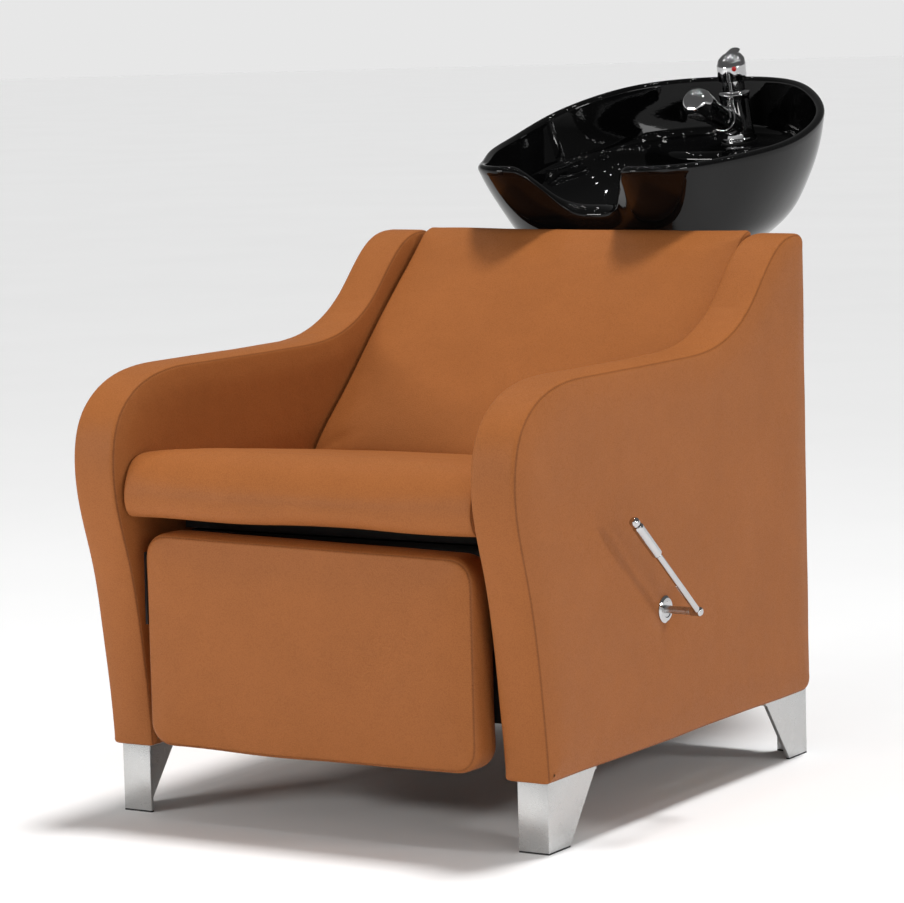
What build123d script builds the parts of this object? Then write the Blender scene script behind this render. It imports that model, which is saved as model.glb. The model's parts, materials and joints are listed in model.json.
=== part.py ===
from build123d import *
import os
from math import cos, exp, hypot, radians, sin

# A salon backwash unit: an armchair with a swing-up legrest, and a ceramic wash bowl behind its back.
# All sizes are in millimetres. The unit is drawn with X = 0 on the seat's mid-plane, Y = 0 at the
# front faces of the front feet and growing to the rear, and Z = 0 on the floor. One shift at the end
# puts the origin at the bottom centre of the whole unit's box.

# ---- the chair's driving dimensions
overall_width = 650.0
panel_thickness = 66.0
panel_bottom = 88.0
panel_top = 705.0
panel_front = -74.0
panel_rear = 695.0
arm_height = 571.0
foam_thickness = 20.0
core_thickness = 30.0

panel_outer = overall_width / 2
panel_inner = panel_outer - panel_thickness
core_outer = panel_outer - 18.0
core_inner = core_outer - core_thickness

seat_half_width = 256.0
seat_front_height = 467.0
seat_slope = 0.121
seat_depth = 445.0
seat_thickness = 78.0
seat_front_low = (-48.0, 389.0)
seat_board_front = 72.0
seat_board_thickness = 15.0
board_gap = 0.2

back_half_width = 253.0
back_slope = 0.9
back_direction = (0.743, 0.669)
back_foot = (361.0, 423.0)
back_thickness = 62.0
board_thickness = 12.0
back_rear = 684.0

cover_front = 685.0

# ---- the legrest and its drive
legrest_half_width = 242.0
legrest_front = -45.0
legrest_thickness = 60.0
legrest_bottom = 98.0
legrest_top = 364.0
legrest_corner = 30.0
legrest_pivot = (0.0, 312.0)
drive_pivot = (284.0, 258.0)
crank_offset = (45.0, -40.0)
arm_plane = (246.0, 250.0)
link_plane = (240.0, 245.0)
pin_radius = 5.0
running_gap = 0.04
shaft_radius = 8.0
bush_radius = 7.0
bearing_radius = 11.0

# ---- the hand lever
lever_plane = 372.0
lever_angle = radians(40.0)
lever_length = 206.0
lever_hub_radius = 7.5
rod_radius = 4.5
grip_radius = 7.0
grip_length = 66.0
knob_radius = 6.5

# ---- the feet
foot_inset = 9.5
foot_width = 42.0
foot_plate = 5.0
glide_thickness = 2.0
stud_length = 24.0

# ---- the bowl, drawn in its own tilted frame: x across, v along its length, w square to its rim
bowl_tilt = 11.6
bowl_origin = (0.0, 868.0, 849.5)
wall = 13.0
neck_wall = 34.0
deck_level = -80.0
deck_thickness = 14.0
drain_v = 30.0
drain_radius = 22.0
hub_level = -190.0
basin_floor = -172.0
tap_x = 30.0
tap_v = 200.0
tap_body_height = 65.0
tap_neck_height = 82.0
handle_radius = 21.0
tilt_height = 88.0
spray_angle = radians(29.0)
spray_reach = 128.0
spray_head_radius = 23.0
tilt_pivot = (840.0, 600.0)
tilt_pin_radius = 8.0

# Half outlines of the bowl's outside, as (x, v) from the back centre round to the front, by level.
outer_sections = {
    14: [(0, 272), (95, 247), (177, 177), (227, 101), (241, 15), (228, -86), (190, -180), (151, -242),
         (112, -264), (73, -253), (0, -195)],
    -40: [(0, 264), (94, 240), (174, 168), (219, 92), (231, 15), (218, -80), (183, -160), (140, -224),
          (98, -238), (60, -222), (0, -195)],
    -80: [(0, 257), (92, 233), (168, 158), (208, 82), (218, 10), (205, -75), (174, -148), (132, -203),
          (90, -214), (50, -202), (0, -192)],
    -120: [(0, 244), (86, 218), (154, 145), (190, 72), (198, 5), (188, -72), (162, -137), (120, -181),
           (80, -190), (40, -188), (0, -186)],
    -160: [(0, 215), (74, 190), (132, 122), (162, 55), (167, -5), (158, -70), (132, -124), (88, -156),
           (60, -163), (30, -167), (0, -168)],
    hub_level: [(0, 150), (60, 130), (105, 75), (120, 35), (122, -5), (112, -50), (85, -92), (60, -106),
                (40, -112), (20, -115), (0, -116)],
}

# Half outlines of the basin below the deck, in the same way.
basin_sections = {
    deck_level: [(0, 128), (60, 140), (112, 166), (150, 150), (188, 80), (204, 8), (191, -70), (162, -136),
                 (124, -188), (80, -180), (0, -158)],
    -125: [(0, 110), (50, 118), (95, 134), (132, 118), (164, 62), (178, 4), (168, -64), (140, -124),
           (96, -166), (48, -168), (0, -160)],
    -160: [(0, 66), (50, 72), (88, 66), (112, 40), (118, 6), (108, -34), (84, -78), (56, -102), (30, -112),
           (15, -114), (0, -115)],
}

bowl_plane = Plane(
    origin=bowl_origin,
    x_dir=(1, 0, 0),
    z_dir=(0, -sin(radians(bowl_tilt)), cos(radians(bowl_tilt))),
)

# ---- the whole unit's box, whose bottom centre is the origin
lever_reach = lever_plane + lever_hub_radius
bowl_rear = 1134.0
origin_shift = Pos(
    (panel_outer - lever_reach) / 2,
    -(panel_front + bowl_rear) / 2,
    0,
)

parts = {}


# ---- small helpers
def block(x_span, y_span, z_span):
    """A box between the given limits."""
    spans = (x_span, y_span, z_span)
    middle = [(low + high) / 2 for low, high in spans]
    size = [high - low for low, high in spans]
    return Pos(*middle) * Box(*size)


def rod(x_span, centre, radius):
    """A round bar along X, about a centre given as (y, z)."""
    low, high = x_span
    return Pos((low + high) / 2, *centre) * Rot(0, 90, 0) * Cylinder(radius, high - low)


def tube(x_span, centre, outer, inner):
    """A round tube along X."""
    return rod(x_span, centre, outer) - rod(x_span, centre, inner)


def slab(outline, x_span):
    """An outline in (y, z), made into a plate between two X positions."""
    low, high = x_span
    return extrude(Plane.YZ.offset(low) * outline, amount=high - low)


def polygon(*corners):
    """A flat face from its corners."""
    return make_face(Polyline(*corners, close=True))


def other_side(solid):
    """The same piece on the other side of the mid-plane."""
    return mirror(solid, about=Plane.YZ)


def both_sides(name, solid):
    """Store a piece on the lever's side as right_, and its mirror image as left_."""
    parts["right_" + name] = solid
    parts["left_" + name] = other_side(solid)


def on_bowl(x, v, w):
    """A place in the bowl's tilted frame."""
    return bowl_plane.location * Pos(x, v, w)


# ---- side panels
def panel_outline():
    """The side panel in (y, z): swept front, rolled arm, flat arm top, wing and straight rear."""
    rear_radius = 14.0
    foot_radius = 18.0
    front = Spline(
        (-10, panel_bottom), (-23, 204), (-47, 330), (panel_front, 449),
        tangents=[(-0.06, 1), (0, 1)],
    )
    roll = Spline(
        (panel_front, 449), (-58, 515), (-18, 550), (38, 567), (98, arm_height),
        tangents=[(0, 1), (1, 0)],
    )
    arm = Line((98, arm_height), (353, arm_height))
    wing = Spline(
        (353, arm_height), (456, 581), (534, 619), (597, 677), (640, 701), (672, panel_top),
        tangents=[(1, 0), (1, 0)],
    )
    top = Line((672, panel_top), (panel_rear - rear_radius, panel_top))
    top_corner = RadiusArc(
        (panel_rear - rear_radius, panel_top), (panel_rear, panel_top - rear_radius), rear_radius
    )
    rear = Line((panel_rear, panel_top - rear_radius), (panel_rear, panel_bottom + foot_radius))
    foot_corner = RadiusArc(
        (panel_rear, panel_bottom + foot_radius), (panel_rear - foot_radius, panel_bottom), foot_radius
    )
    bottom = Line((panel_rear - foot_radius, panel_bottom), (-10, panel_bottom))
    return make_face(front + roll + arm + wing + top + top_corner + rear + foot_corner + bottom)


def core_outline():
    """The plywood core inside the foam, which reaches the panel's open bottom edge."""
    high = arm_height - foam_thickness
    front = Spline(
        (12, panel_bottom), (-2, 204), (-27, 330), (panel_front + foam_thickness, 449),
        tangents=[(-0.06, 1), (0, 1)],
    )
    roll = Spline(
        (panel_front + foam_thickness, 449), (-38, 508), (2, 541), (98, high),
        tangents=[(0, 1), (1, 0)],
    )
    arm = Line((98, high), (353, high))
    wing = Spline(
        (353, high), (450, 561), (524, 597), (590, 660), (640, 682), (672, panel_top - foam_thickness),
        tangents=[(1, 0), (1, 0)],
    )
    rest = Polyline(
        (672, panel_top - foam_thickness), (panel_rear - foam_thickness, panel_top - foam_thickness),
        (panel_rear - foam_thickness, panel_bottom), (12, panel_bottom),
    )
    return make_face(front + roll + arm + wing + rest)


def side_panels():
    edge_radius = 9.0
    upholstery = slab(panel_outline(), (panel_inner, panel_outer))
    for face in (upholstery.faces().sort_by(Axis.X)[0], upholstery.faces().sort_by(Axis.X)[-1]):
        rolled = [e for e in face.edges() if e.center().Z > panel_bottom + 1]
        upholstery = fillet(rolled, edge_radius)
    core = slab(core_outline(), (core_inner, core_outer))
    upholstery -= core
    right_hole = rod((panel_inner - 1, panel_outer + 1), drive_pivot, bearing_radius)
    left_hole = rod((-core_outer, -panel_inner + 1), drive_pivot, bearing_radius)
    for name, solid in (("side_upholstery", upholstery), ("side_core", core)):
        parts["right_" + name] = solid - right_hole
        parts["left_" + name] = other_side(solid) - left_hole


# ---- wooden frame between the panels
def cross_rails():
    span = (-panel_inner, panel_inner)
    parts["front_cross_rail"] = block(span, (86, 111), (304, 356))
    parts["middle_cross_rail"] = block(span, (405, 430), (262, 321))
    parts["rear_cross_rail"] = block(span, (660, cover_front), (110, 180))
    parts["bowl_mount_board"] = block(span, (661, cover_front), (400, 575))


# ---- seat
def seat():
    rear_top = seat_front_height - seat_slope * seat_depth
    front = Spline(
        seat_front_low, (-61, 404), (-60, 432), (-42, 461), (0, seat_front_height),
        tangents=[(-1, 0.1), (1, -seat_slope)],
    )
    rest = Polyline(
        (0, seat_front_height), (seat_depth, rear_top), (seat_depth, rear_top - seat_thickness),
        seat_front_low,
    )
    cushion = slab(make_face(front + rest), (-seat_half_width, seat_half_width))
    parts["seat_cushion"] = cushion
    # The board lies under the cushion's sloping underside, and stops short of its rear edge.
    low_y, low_z = seat_front_low
    fall = (rear_top - seat_thickness - low_z) / (seat_depth - low_y)
    board_rear = seat_depth - 5
    front_z = low_z + fall * (seat_board_front - low_y) - board_gap
    rear_z = low_z + fall * (board_rear - low_y) - board_gap
    board = polygon(
        (seat_board_front, front_z), (board_rear, rear_z),
        (board_rear, rear_z - seat_board_thickness), (seat_board_front, front_z - seat_board_thickness),
    )
    parts["seat_board"] = slab(board, (-panel_inner + 3, panel_inner - 3))


# ---- backrest
def backrest():
    y0, z0 = back_foot
    along_y, along_z = back_direction
    rear_y = y0 + along_z * back_thickness
    rear_z = z0 - along_y * back_thickness
    foot_y = 446.0
    board_foot_set = 5.0
    low_front = (y0 + 1, z0 + 1.5)
    top_front = (672, panel_top)
    front = Spline(low_front, (411, 476), (461, 523), (541, 600), (628, 676), (652, 694), top_front)
    rest = Polyline(
        top_front,
        (back_rear, panel_top),
        (back_rear, rear_z + back_slope * (back_rear - rear_y)),
        (foot_y, rear_z + back_slope * (foot_y - rear_y)),
        low_front,
    )
    parts["back_cushion"] = slab(make_face(front + rest), (-back_half_width, back_half_width))
    board_y = rear_y + along_z * board_thickness
    board_z = rear_z - along_y * board_thickness
    board_foot = foot_y + board_foot_set
    board_toe = board_foot + board_foot_set + 3
    board = polygon(
        (board_foot, rear_z + back_slope * (board_foot - rear_y) - board_gap),
        (back_rear, rear_z + back_slope * (back_rear - rear_y) - board_gap),
        (back_rear, board_z + back_slope * (back_rear - board_y)),
        (board_toe, board_z + back_slope * (board_toe - board_y)),
    )
    parts["back_board"] = slab(board, (-back_half_width, back_half_width))


def rear_cover():
    cover = block((-panel_inner, panel_inner), (cover_front, panel_rear), (panel_bottom + 4, 684))
    parts["rear_cover"] = cover


# ---- legrest
def legrest():
    rear = legrest_front + legrest_thickness
    height = legrest_top - legrest_bottom
    middle = (legrest_top + legrest_bottom) / 2
    face_plane = Plane(origin=(0, rear, middle), x_dir=(1, 0, 0), z_dir=(0, -1, 0))
    outline = RectangleRounded(2 * legrest_half_width, height, legrest_corner)
    pad = extrude(face_plane * outline, amount=legrest_thickness)
    pad = fillet(pad.faces().sort_by(Axis.Y)[0].edges(), 7)
    parts["legrest_pad"] = pad
    board_rear = rear + board_thickness
    parts["legrest_board"] = block((-225, 225), (rear, board_rear), (122, 344))

    arm_low, arm_high = arm_plane
    y, z = legrest_pivot
    lug_y, lug_z = y + crank_offset[0], z + crank_offset[1]
    strap = polygon(
        (y - 9, z + 12), (y + 12, z + 12), (board_rear + 4, z + 4), (lug_y + 10, lug_z + 6),
        (lug_y + 8, lug_z - 9), (board_rear + 4, lug_z - 30), (board_rear + 4, 150), (board_rear, 150),
        (board_rear, lug_z - 10), (y - 10, z - 10),
    )
    plate = slab(strap, arm_plane)
    flange = block((185, arm_low), (board_rear, board_rear + 4), (150, 262))
    stud = rod((link_plane[0] - 3, arm_low), (lug_y, lug_z), pin_radius)
    head = rod((link_plane[0] - 6, link_plane[0] - 3), (lug_y, lug_z), pin_radius + 3)
    arm = plate + flange + stud + head
    bush_seat = rod((arm_low - 1, arm_high + 1), legrest_pivot, bush_radius)
    both_sides("legrest_arm", arm - bush_seat)
    bush = tube((arm_low - 1, arm_high + 1.5), legrest_pivot, bush_radius, pin_radius + running_gap)
    parts["legrest_bushes"] = Compound(children=[bush, other_side(bush)])


def pivot_plates():
    """Steel plates on the panels' inner faces, with the legrest's pivot pins and its rest stops."""
    y, z = legrest_pivot
    stop = (y + crank_offset[0] + 19.5, z + crank_offset[1])
    plate = block((panel_inner - 3, panel_inner), (-18, 84), (248, 340))
    pin = rod((arm_plane[0] - 2, panel_inner - 3), legrest_pivot, pin_radius)
    both_sides("pivot_plate", plate + pin)
    rubber = rod((arm_plane[0] - 1, panel_inner - 3), stop, 8)
    parts["legrest_stops"] = Compound(children=[rubber, other_side(rubber)])


# ---- cross shaft, bearings, cranks and links
def crank_end():
    return (drive_pivot[0] + crank_offset[0], drive_pivot[1] + crank_offset[1])


def drive():
    shaft_left = -panel_inner + 1
    parts["drive_shaft"] = rod((shaft_left, lever_plane - 10), drive_pivot, shaft_radius)
    bore = shaft_radius + running_gap
    flange_radius = 18.0
    right_bearing = rod((panel_inner - 4, panel_outer), drive_pivot, bearing_radius)
    right_bearing += rod((panel_inner - 4, panel_inner), drive_pivot, flange_radius)
    parts["right_shaft_bearing"] = right_bearing - rod((panel_inner - 5, panel_outer + 1), drive_pivot, bore)
    left_bearing = rod((-panel_inner, -panel_inner + 4), drive_pivot, flange_radius)
    left_bearing += rod((-core_outer, -panel_inner), drive_pivot, bearing_radius)
    parts["left_shaft_bearing"] = left_bearing - rod((-panel_inner - 5, -panel_inner + 5), drive_pivot, bore)

    end = crank_end()
    hub = rod((arm_plane[0] - 6, arm_plane[1]), drive_pivot, 15)
    web = polygon(
        (drive_pivot[0] + 9, drive_pivot[1] + 12), (end[0] + 7, end[1] + 7),
        (end[0] - 6, end[1] - 7), (drive_pivot[0] - 11, drive_pivot[1] - 10),
    )
    boss = rod(arm_plane, end, 10)
    stud = rod((link_plane[0] - 3, arm_plane[0]), end, pin_radius)
    head = rod((link_plane[0] - 6, link_plane[0] - 3), end, pin_radius + 3)
    crank = hub + slab(web, arm_plane) + boss + stud + head
    both_sides("drive_crank", crank - rod((arm_plane[0] - 7, arm_plane[1] + 1), drive_pivot, shaft_radius))


def links():
    """Flat bars from the cranks to the legrest arms. The front hole is wide, as a loose rivet joint."""
    rear = crank_end()
    front = (legrest_pivot[0] + crank_offset[0], legrest_pivot[1] + crank_offset[1])
    span_y, span_z = rear[0] - front[0], rear[1] - front[1]
    length = hypot(span_y, span_z)
    across_y, across_z = -span_z / length * 9, span_y / length * 9
    bar = polygon(
        (front[0] + across_y, front[1] + across_z), (rear[0] + across_y, rear[1] + across_z),
        (rear[0] - across_y, rear[1] - across_z), (front[0] - across_y, front[1] - across_z),
    )
    plate_span = (link_plane[0], link_plane[1] - 0.5)
    plate = slab(bar, plate_span) + rod(plate_span, front, 9) + rod(plate_span, rear, 9)
    plate -= rod((link_plane[0] - 1, link_plane[1] + 1), front, pin_radius + 0.6)
    plate -= rod((link_plane[0] - 1, link_plane[1] + 1), rear, pin_radius + running_gap)
    both_sides("link", plate)


# ---- hand lever
def lever():
    y, z = drive_pivot
    escutcheon = rod((panel_outer, panel_outer + 4), drive_pivot, 17.5)
    escutcheon = fillet(escutcheon.faces().sort_by(Axis.X)[-1].edges(), 2)
    parts["lever_escutcheon"] = escutcheon - rod((panel_outer - 1, panel_outer + 5), drive_pivot, 9)
    hub = rod((lever_plane - 10, lever_plane + lever_hub_radius), drive_pivot, lever_hub_radius)
    parts["lever_hub"] = fillet(hub.faces().sort_by(Axis.X)[-1].edges(), 2)

    # The lever points forward and up; its own frame has z along it.
    direction = (0, -cos(lever_angle), sin(lever_angle))
    lever_frame = Plane(origin=(lever_plane, y, z), x_dir=(1, 0, 0), z_dir=direction).location
    grip_start = lever_length - grip_length - knob_radius
    rod_bar = lever_frame * Pos(0, 0, (6 + grip_start) / 2) * Cylinder(rod_radius, grip_start - 6)
    parts["lever_rod"] = rod_bar - parts["lever_hub"]
    grip = lever_frame * Pos(0, 0, grip_start + grip_length / 2) * Cylinder(grip_radius, grip_length)
    parts["lever_grip"] = fillet(grip.edges(), 2.5)
    ball = lever_frame * Pos(0, 0, lever_length) * Sphere(knob_radius)
    neck = lever_frame * Pos(0, 0, lever_length - knob_radius / 2) * Cylinder(4, knob_radius)
    parts["lever_knob"] = (ball + neck) - parts["lever_grip"]


# ---- feet
def feet():
    outer = panel_outer - foot_inset
    inner = outer - foot_width
    top = panel_bottom
    top_reach, floor_reach = 119.0, 52.0
    front_plate = block((inner, outer), (0, foot_plate), (glide_thickness, top))
    cheek = slab(
        polygon((0, glide_thickness), (floor_reach, glide_thickness), (top_reach, top), (0, top)),
        (outer - foot_plate, outer),
    )
    flange = block((inner, outer), (0, top_reach), (top - 4, top))
    foot = front_plate + cheek + flange
    glide = block((inner, outer), (0, foot_plate), (0, glide_thickness))
    glide += block((outer - foot_plate, outer), (0, floor_reach), (0, glide_thickness))
    # Two threaded studs stand on each foot and hold it in the plywood core.
    studs = []
    for y in (34, 84):
        studs.append(Pos((core_inner + core_outer) / 2, y, top + stud_length / 2) * Cylinder(3, stud_length))
    for stud in studs:
        foot += stud
    rear_of_unit = Plane(origin=(0, panel_rear / 2, 0), z_dir=(0, 1, 0))
    both_sides("front_foot", foot)
    both_sides("rear_foot", mirror(foot, about=rear_of_unit))
    glides = [glide, mirror(glide, about=rear_of_unit)]
    parts["foot_glides"] = Compound(children=glides + [other_side(solid) for solid in glides])
    for side in ("right", "left"):
        for end in ("front", "rear"):
            parts[side + "_side_core"] -= parts[side + "_" + end + "_foot"]


# ---- wash bowl
def closed_outline(half):
    """A smooth closed outline from its right half, which runs from the back centre to the front."""
    left = [(-x, v) for x, v in reversed(half[1:-1])]
    return make_face(Spline(*half, *left, periodic=True))


def inset(half):
    """The half outline moved inwards by the wall, which is thicker at the neck rest in front."""
    before = [(-half[1][0], half[1][1])] + half[:-1]
    after = half[1:] + [(-half[-2][0], half[-2][1])]
    moved = []
    for (x0, v0), (x, v), (x1, v1) in zip(before, half, after):
        run = hypot(x1 - x0, v1 - v0)
        depth = wall
        if v < -150:
            depth += (neck_wall - wall) * exp(-((x / 60) ** 2))
        moved.append((x + depth * (v1 - v0) / run, v - depth * (x1 - x0) / run))
    moved[0] = (0, moved[0][1])
    moved[-1] = (0, moved[-1][1])
    return moved


def stack(sections):
    """A smooth solid through outlines at the given levels of the bowl's frame."""
    faces = [bowl_plane.location * Pos(0, 0, level) * closed_outline(half) for level, half in sections]
    return loft(faces)


def rim_cutter():
    """Everything above the rim, which dips along both sides and rises to the lobes and the back."""
    line = Spline((-300, 4), (-262, -2), (-178, -14), (-96, -19.5), (-16, -22), (67, -16), (144, -4.6),
                  (204, 2.4), (252, 2), (300, -3))
    above = Polyline((300, -3), (300, 80), (-300, 80), (-300, 4))
    return bowl_plane.location * slab(make_face(line + above), (-300, 300))


def neck_cutter():
    """The notch for the neck: a smooth U seen from the front, open at the top."""
    half = [(78, 2), (66, -17), (52, -38), (34, -61)]
    low = Spline(*[(-x, w) for x, w in half], (0, -77), *reversed(half))
    above = Polyline((78, 2), (84, 60), (-84, 60), (-78, 2))
    front_plane = Plane(origin=(0, -120, 0), x_dir=(1, 0, 0), z_dir=(0, -1, 0))
    return bowl_plane.location * extrude(front_plane * make_face(low + above), amount=220)


def bowl():
    outer = stack([(level, outer_sections[level]) for level in (14, -40, -80, -120, -160, hub_level)])
    cavity = stack([
        (16, inset(outer_sections[14])),
        (-40, inset(outer_sections[-40])),
        (deck_level, inset(outer_sections[-80])),
    ])
    floor_outline = [(0.8 * x, 0.8 * v) for x, v in basin_sections[-160]]
    basin = stack([
        (deck_level + 0.5, basin_sections[deck_level]),
        (-125, basin_sections[-125]),
        (-160, basin_sections[-160]),
        (basin_floor, floor_outline),
    ])
    shape = outer - rim_cutter() - cavity - basin - neck_cutter()
    # The pocket under the tap deck, open below, for the tap's nut and the supply tails.
    pocket_top = deck_level - deck_thickness
    pocket_low = -135.0
    shape -= on_bowl(0, 194, (pocket_top + pocket_low) / 2) * Box(124, 68, pocket_top - pocket_low)
    shape -= on_bowl(0, 188, -170) * Box(124, 56, 80)
    shape -= on_bowl(tap_x, tap_v, deck_level) * Cylinder(17, 60)
    shape -= on_bowl(0, drain_v, hub_level) * Cylinder(drain_radius, 80)
    shape -= on_bowl(0, drain_v, basin_floor - 1) * Cylinder(34, 6)
    for x in (-45, 45):
        shape -= on_bowl(x, -60, hub_level) * Cylinder(5, 24)
    parts["wash_bowl"] = shape


# ---- waste
def waste():
    seat_level = basin_floor - 4
    tail_radius = 16.0
    flange = on_bowl(0, drain_v, seat_level + 1.5) * Cylinder(32, 3)
    sleeve = on_bowl(0, drain_v, (seat_level + 1.5 - 222) / 2) * Cylinder(20, 222 + seat_level + 1.5)
    bore = on_bowl(0, drain_v, (seat_level + 4 - 223) / 2) * Cylinder(17, 223 + seat_level + 4)
    parts["waste_flange"] = flange + sleeve - bore
    strainer = on_bowl(0, drain_v, seat_level + 4) * Cylinder(24, 2)
    strainer += on_bowl(0, drain_v, seat_level - 3) * Cylinder(16.9, 12)
    strainer -= on_bowl(0, drain_v, seat_level - 5) * Cylinder(14.5, 12)
    for ring_radius, count in ((5, 5), (11, 10)):
        for hole in PolarLocations(ring_radius, count):
            strainer -= on_bowl(0, drain_v, seat_level + 4) * hole * Cylinder(1.6, 12)
    parts["strainer"] = strainer
    tail = on_bowl(0, drain_v, -252) * Cylinder(tail_radius, 76)
    tail -= on_bowl(0, drain_v, -252) * Cylinder(14, 80)
    parts["tail_pipe"] = tail


# ---- tap
def tap_place(height):
    """A place on the tap's axis, at a height above the deck."""
    return on_bowl(tap_x, tap_v, deck_level + height)


def spray_place(distance):
    """A place on the spray's axis, at a distance from the tap's axis, with z along the spray."""
    frame = Plane(
        origin=(0, 0, 0), x_dir=(1, 0, 0), z_dir=(0, -cos(spray_angle), sin(spray_angle))
    ).location
    return tap_place(19.5) * frame * Pos(0, 0, distance)


def tap():
    flange = tap_place(4.5) * Cylinder(26, 5)
    column = tap_place(2 + 63 / 2) * Cone(24, 22, 63)
    neck_length = tap_neck_height - tap_body_height
    neck = tap_place(tap_body_height + neck_length / 2) * Cylinder(16.4, neck_length)
    shank = tap_place(-20) * Cylinder(16.5, 44)
    socket = spray_place(23.8) * Cylinder(17, 47.6)
    chamber = tap_place(60) * Cylinder(13, 46)
    spray_bore = spray_place(34) * Cylinder(11, 30)
    inlet_bore = tap_place(-10) * Cylinder(13, 70)
    body = flange + column + neck + shank + socket
    parts["tap_body"] = body - chamber - spray_bore - inlet_bore
    cartridge = tap_place(60) * Cylinder(12.95, 44) - tap_place(74) * Cylinder(5.04, 20)
    parts["tap_cartridge"] = cartridge
    # The stem carries a cross pin, on which the handle's two ears tilt.
    pin_place = tap_place(tilt_height) * Rot(0, 90, 0)
    parts["tap_stem"] = tap_place(81) * Cylinder(5, 30) + pin_place * Cylinder(2, 24)

    handle = tap_place(tap_neck_height + 13) * Cylinder(handle_radius, 24)
    crown = loft([
        tap_place(tap_neck_height + 25) * Circle(handle_radius),
        tap_place(tap_neck_height + 36) * Pos(0, 2, 0) * Circle(18.5),
        tap_place(tap_neck_height + 45) * Pos(0, 5, 0) * Circle(13),
        tap_place(tap_neck_height + 50) * Pos(0, 8, 0) * Circle(6),
    ])
    hollow = tap_place(tap_neck_height + 10) * Cylinder(19.2, 20)
    shell = handle + crown - hollow
    for x in (-10, 10):
        shell += tap_place(tap_neck_height + 11.5) * Pos(x, 0, 0) * Box(3, 8, 17)
    parts["tap_handle"] = shell - pin_place * Cylinder(2 + running_gap, 26)
    mark = tap_place(tap_neck_height + 17)
    dot = mark * Pos(0, -handle_radius, 0) * Rot(90, 0, 0) * Cylinder(3.5, 1.6)
    parts["tap_indicator"] = dot - parts["tap_handle"]

    plug = spray_place(36.4) * Cylinder(10.96, 24.8)
    collar = spray_place(54) * Cylinder(15, 11.6)
    neck_cone = spray_place(59.8 + 24) * Cone(14, 18, 48)
    head = spray_place(spray_reach) * Sphere(spray_head_radius)
    face_cut = spray_place(spray_reach) * Rot(90, 0, 0) * Pos(0, 0, 30) * Cylinder(14, 22)
    spray = plug + collar + neck_cone + spray_place(110) * Cylinder(18, 8) + head
    parts["hand_spray"] = spray - face_cut
    nozzle = spray_place(spray_reach) * Rot(90, 0, 0) * Pos(0, 0, 20) * Cylinder(12.5, 2)
    parts["spray_nozzle"] = nozzle


def seals_and_nuts():
    tap_seal = tap_place(1) * (Cylinder(26, 2) - Cylinder(17, 4))
    waste_seal = on_bowl(0, drain_v, hub_level - 1.5) * (Cylinder(30, 3) - Cylinder(20, 6))
    parts["bowl_seals"] = Compound(children=[tap_seal, waste_seal])
    tap_nut = tap_place(-deck_thickness - 6) * (Cylinder(23, 10) - Cylinder(16.5, 14))
    waste_nut = on_bowl(0, drain_v, hub_level - 9) * (Cylinder(29, 12) - Cylinder(20, 16))
    parts["lock_nuts"] = Compound(children=[tap_nut, waste_nut])
    tails = [tap_place(-72) * Pos(x, 0, 0) * Cylinder(5, 80) for x in (-6.5, 6.5)]
    parts["supply_tails"] = Compound(children=tails)


# ---- bowl bracket, tilt pin and cradle
def bowl_support():
    py, pz = tilt_pivot
    base_front = panel_rear
    base = block((-90, 90), (base_front, base_front + 6), (430, 600))
    cheek = polygon(
        (base_front + 6, 440), (base_front + 30, 440), (py + 18, pz - 20), (py + 20, pz + 8),
        (py + 8, pz + 20), (py - 20, pz + 16), (base_front + 6, 560),
    )
    cheeks = slab(cheek, (60, 66))
    bracket = base + cheeks + other_side(cheeks)
    bolt_places = [(x, z) for x in (-75, 75) for z in (450, 545)]
    bolts = []
    for x, z in bolt_places:
        shank = Pos(x, (660 + base_front + 6) / 2, z) * Rot(90, 0, 0) * Cylinder(4, base_front + 6 - 660)
        head = Pos(x, base_front + 9, z) * Rot(90, 0, 0) * Cylinder(7, 6)
        washer = Pos(x, 659, z) * Rot(90, 0, 0) * Cylinder(9, 4)
        bolts.append(shank + head + washer)
    holes = Compound(children=bolts)
    pin_hole = rod((-70, 70), tilt_pivot, tilt_pin_radius)
    parts["bowl_bracket"] = bracket - holes - pin_hole
    for name in ("rear_cover", "bowl_mount_board"):
        parts[name] = parts[name] - holes
    parts["tilt_pin"] = rod((-76, 80), tilt_pivot, tilt_pin_radius)
    pin_nut = tube((70, 78), tilt_pivot, 13, tilt_pin_radius)
    pin_head = tube((-76, -66), tilt_pivot, 13, tilt_pin_radius)
    parts["bracket_fasteners"] = Compound(children=bolts + [pin_nut, pin_head])
    washer = tube((56.1, 59.9), tilt_pivot, 17, tilt_pin_radius)
    parts["friction_washers"] = Compound(children=[washer, other_side(washer)])

    plate_top = hub_level - 4
    plate = on_bowl(0, -52, plate_top - 3) * Box(140, 92, 6)
    ear_top = bowl_plane.location * Pos(0, -52, plate_top - 6)
    top_y, top_z = ear_top.position.Y, ear_top.position.Z
    ear = polygon(
        (top_y - 34, top_z - 5), (top_y + 36, top_z + 9), (py + 17, pz - 4), (py + 8, pz - 15),
        (py - 8, pz - 15), (py - 17, pz - 4),
    )
    ears = slab(ear, (50, 56))
    eye = rod((-58, 58), tilt_pivot, tilt_pin_radius + running_gap)
    cradle = plate + ears + other_side(ears) - eye
    pad = on_bowl(0, -52, hub_level - 2) * Box(140, 92, 4)
    studs = []
    for x in (-45, 45):
        shank = on_bowl(x, -60, hub_level - 4) * Cylinder(4, 30)
        studs.append(shank + on_bowl(x, -60, plate_top - 9) * Cylinder(7, 6))
    stud_group = Compound(children=studs)
    parts["bowl_cradle"] = cradle - stud_group
    parts["cradle_pad"] = pad - stud_group
    parts["cradle_studs"] = stud_group


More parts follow.
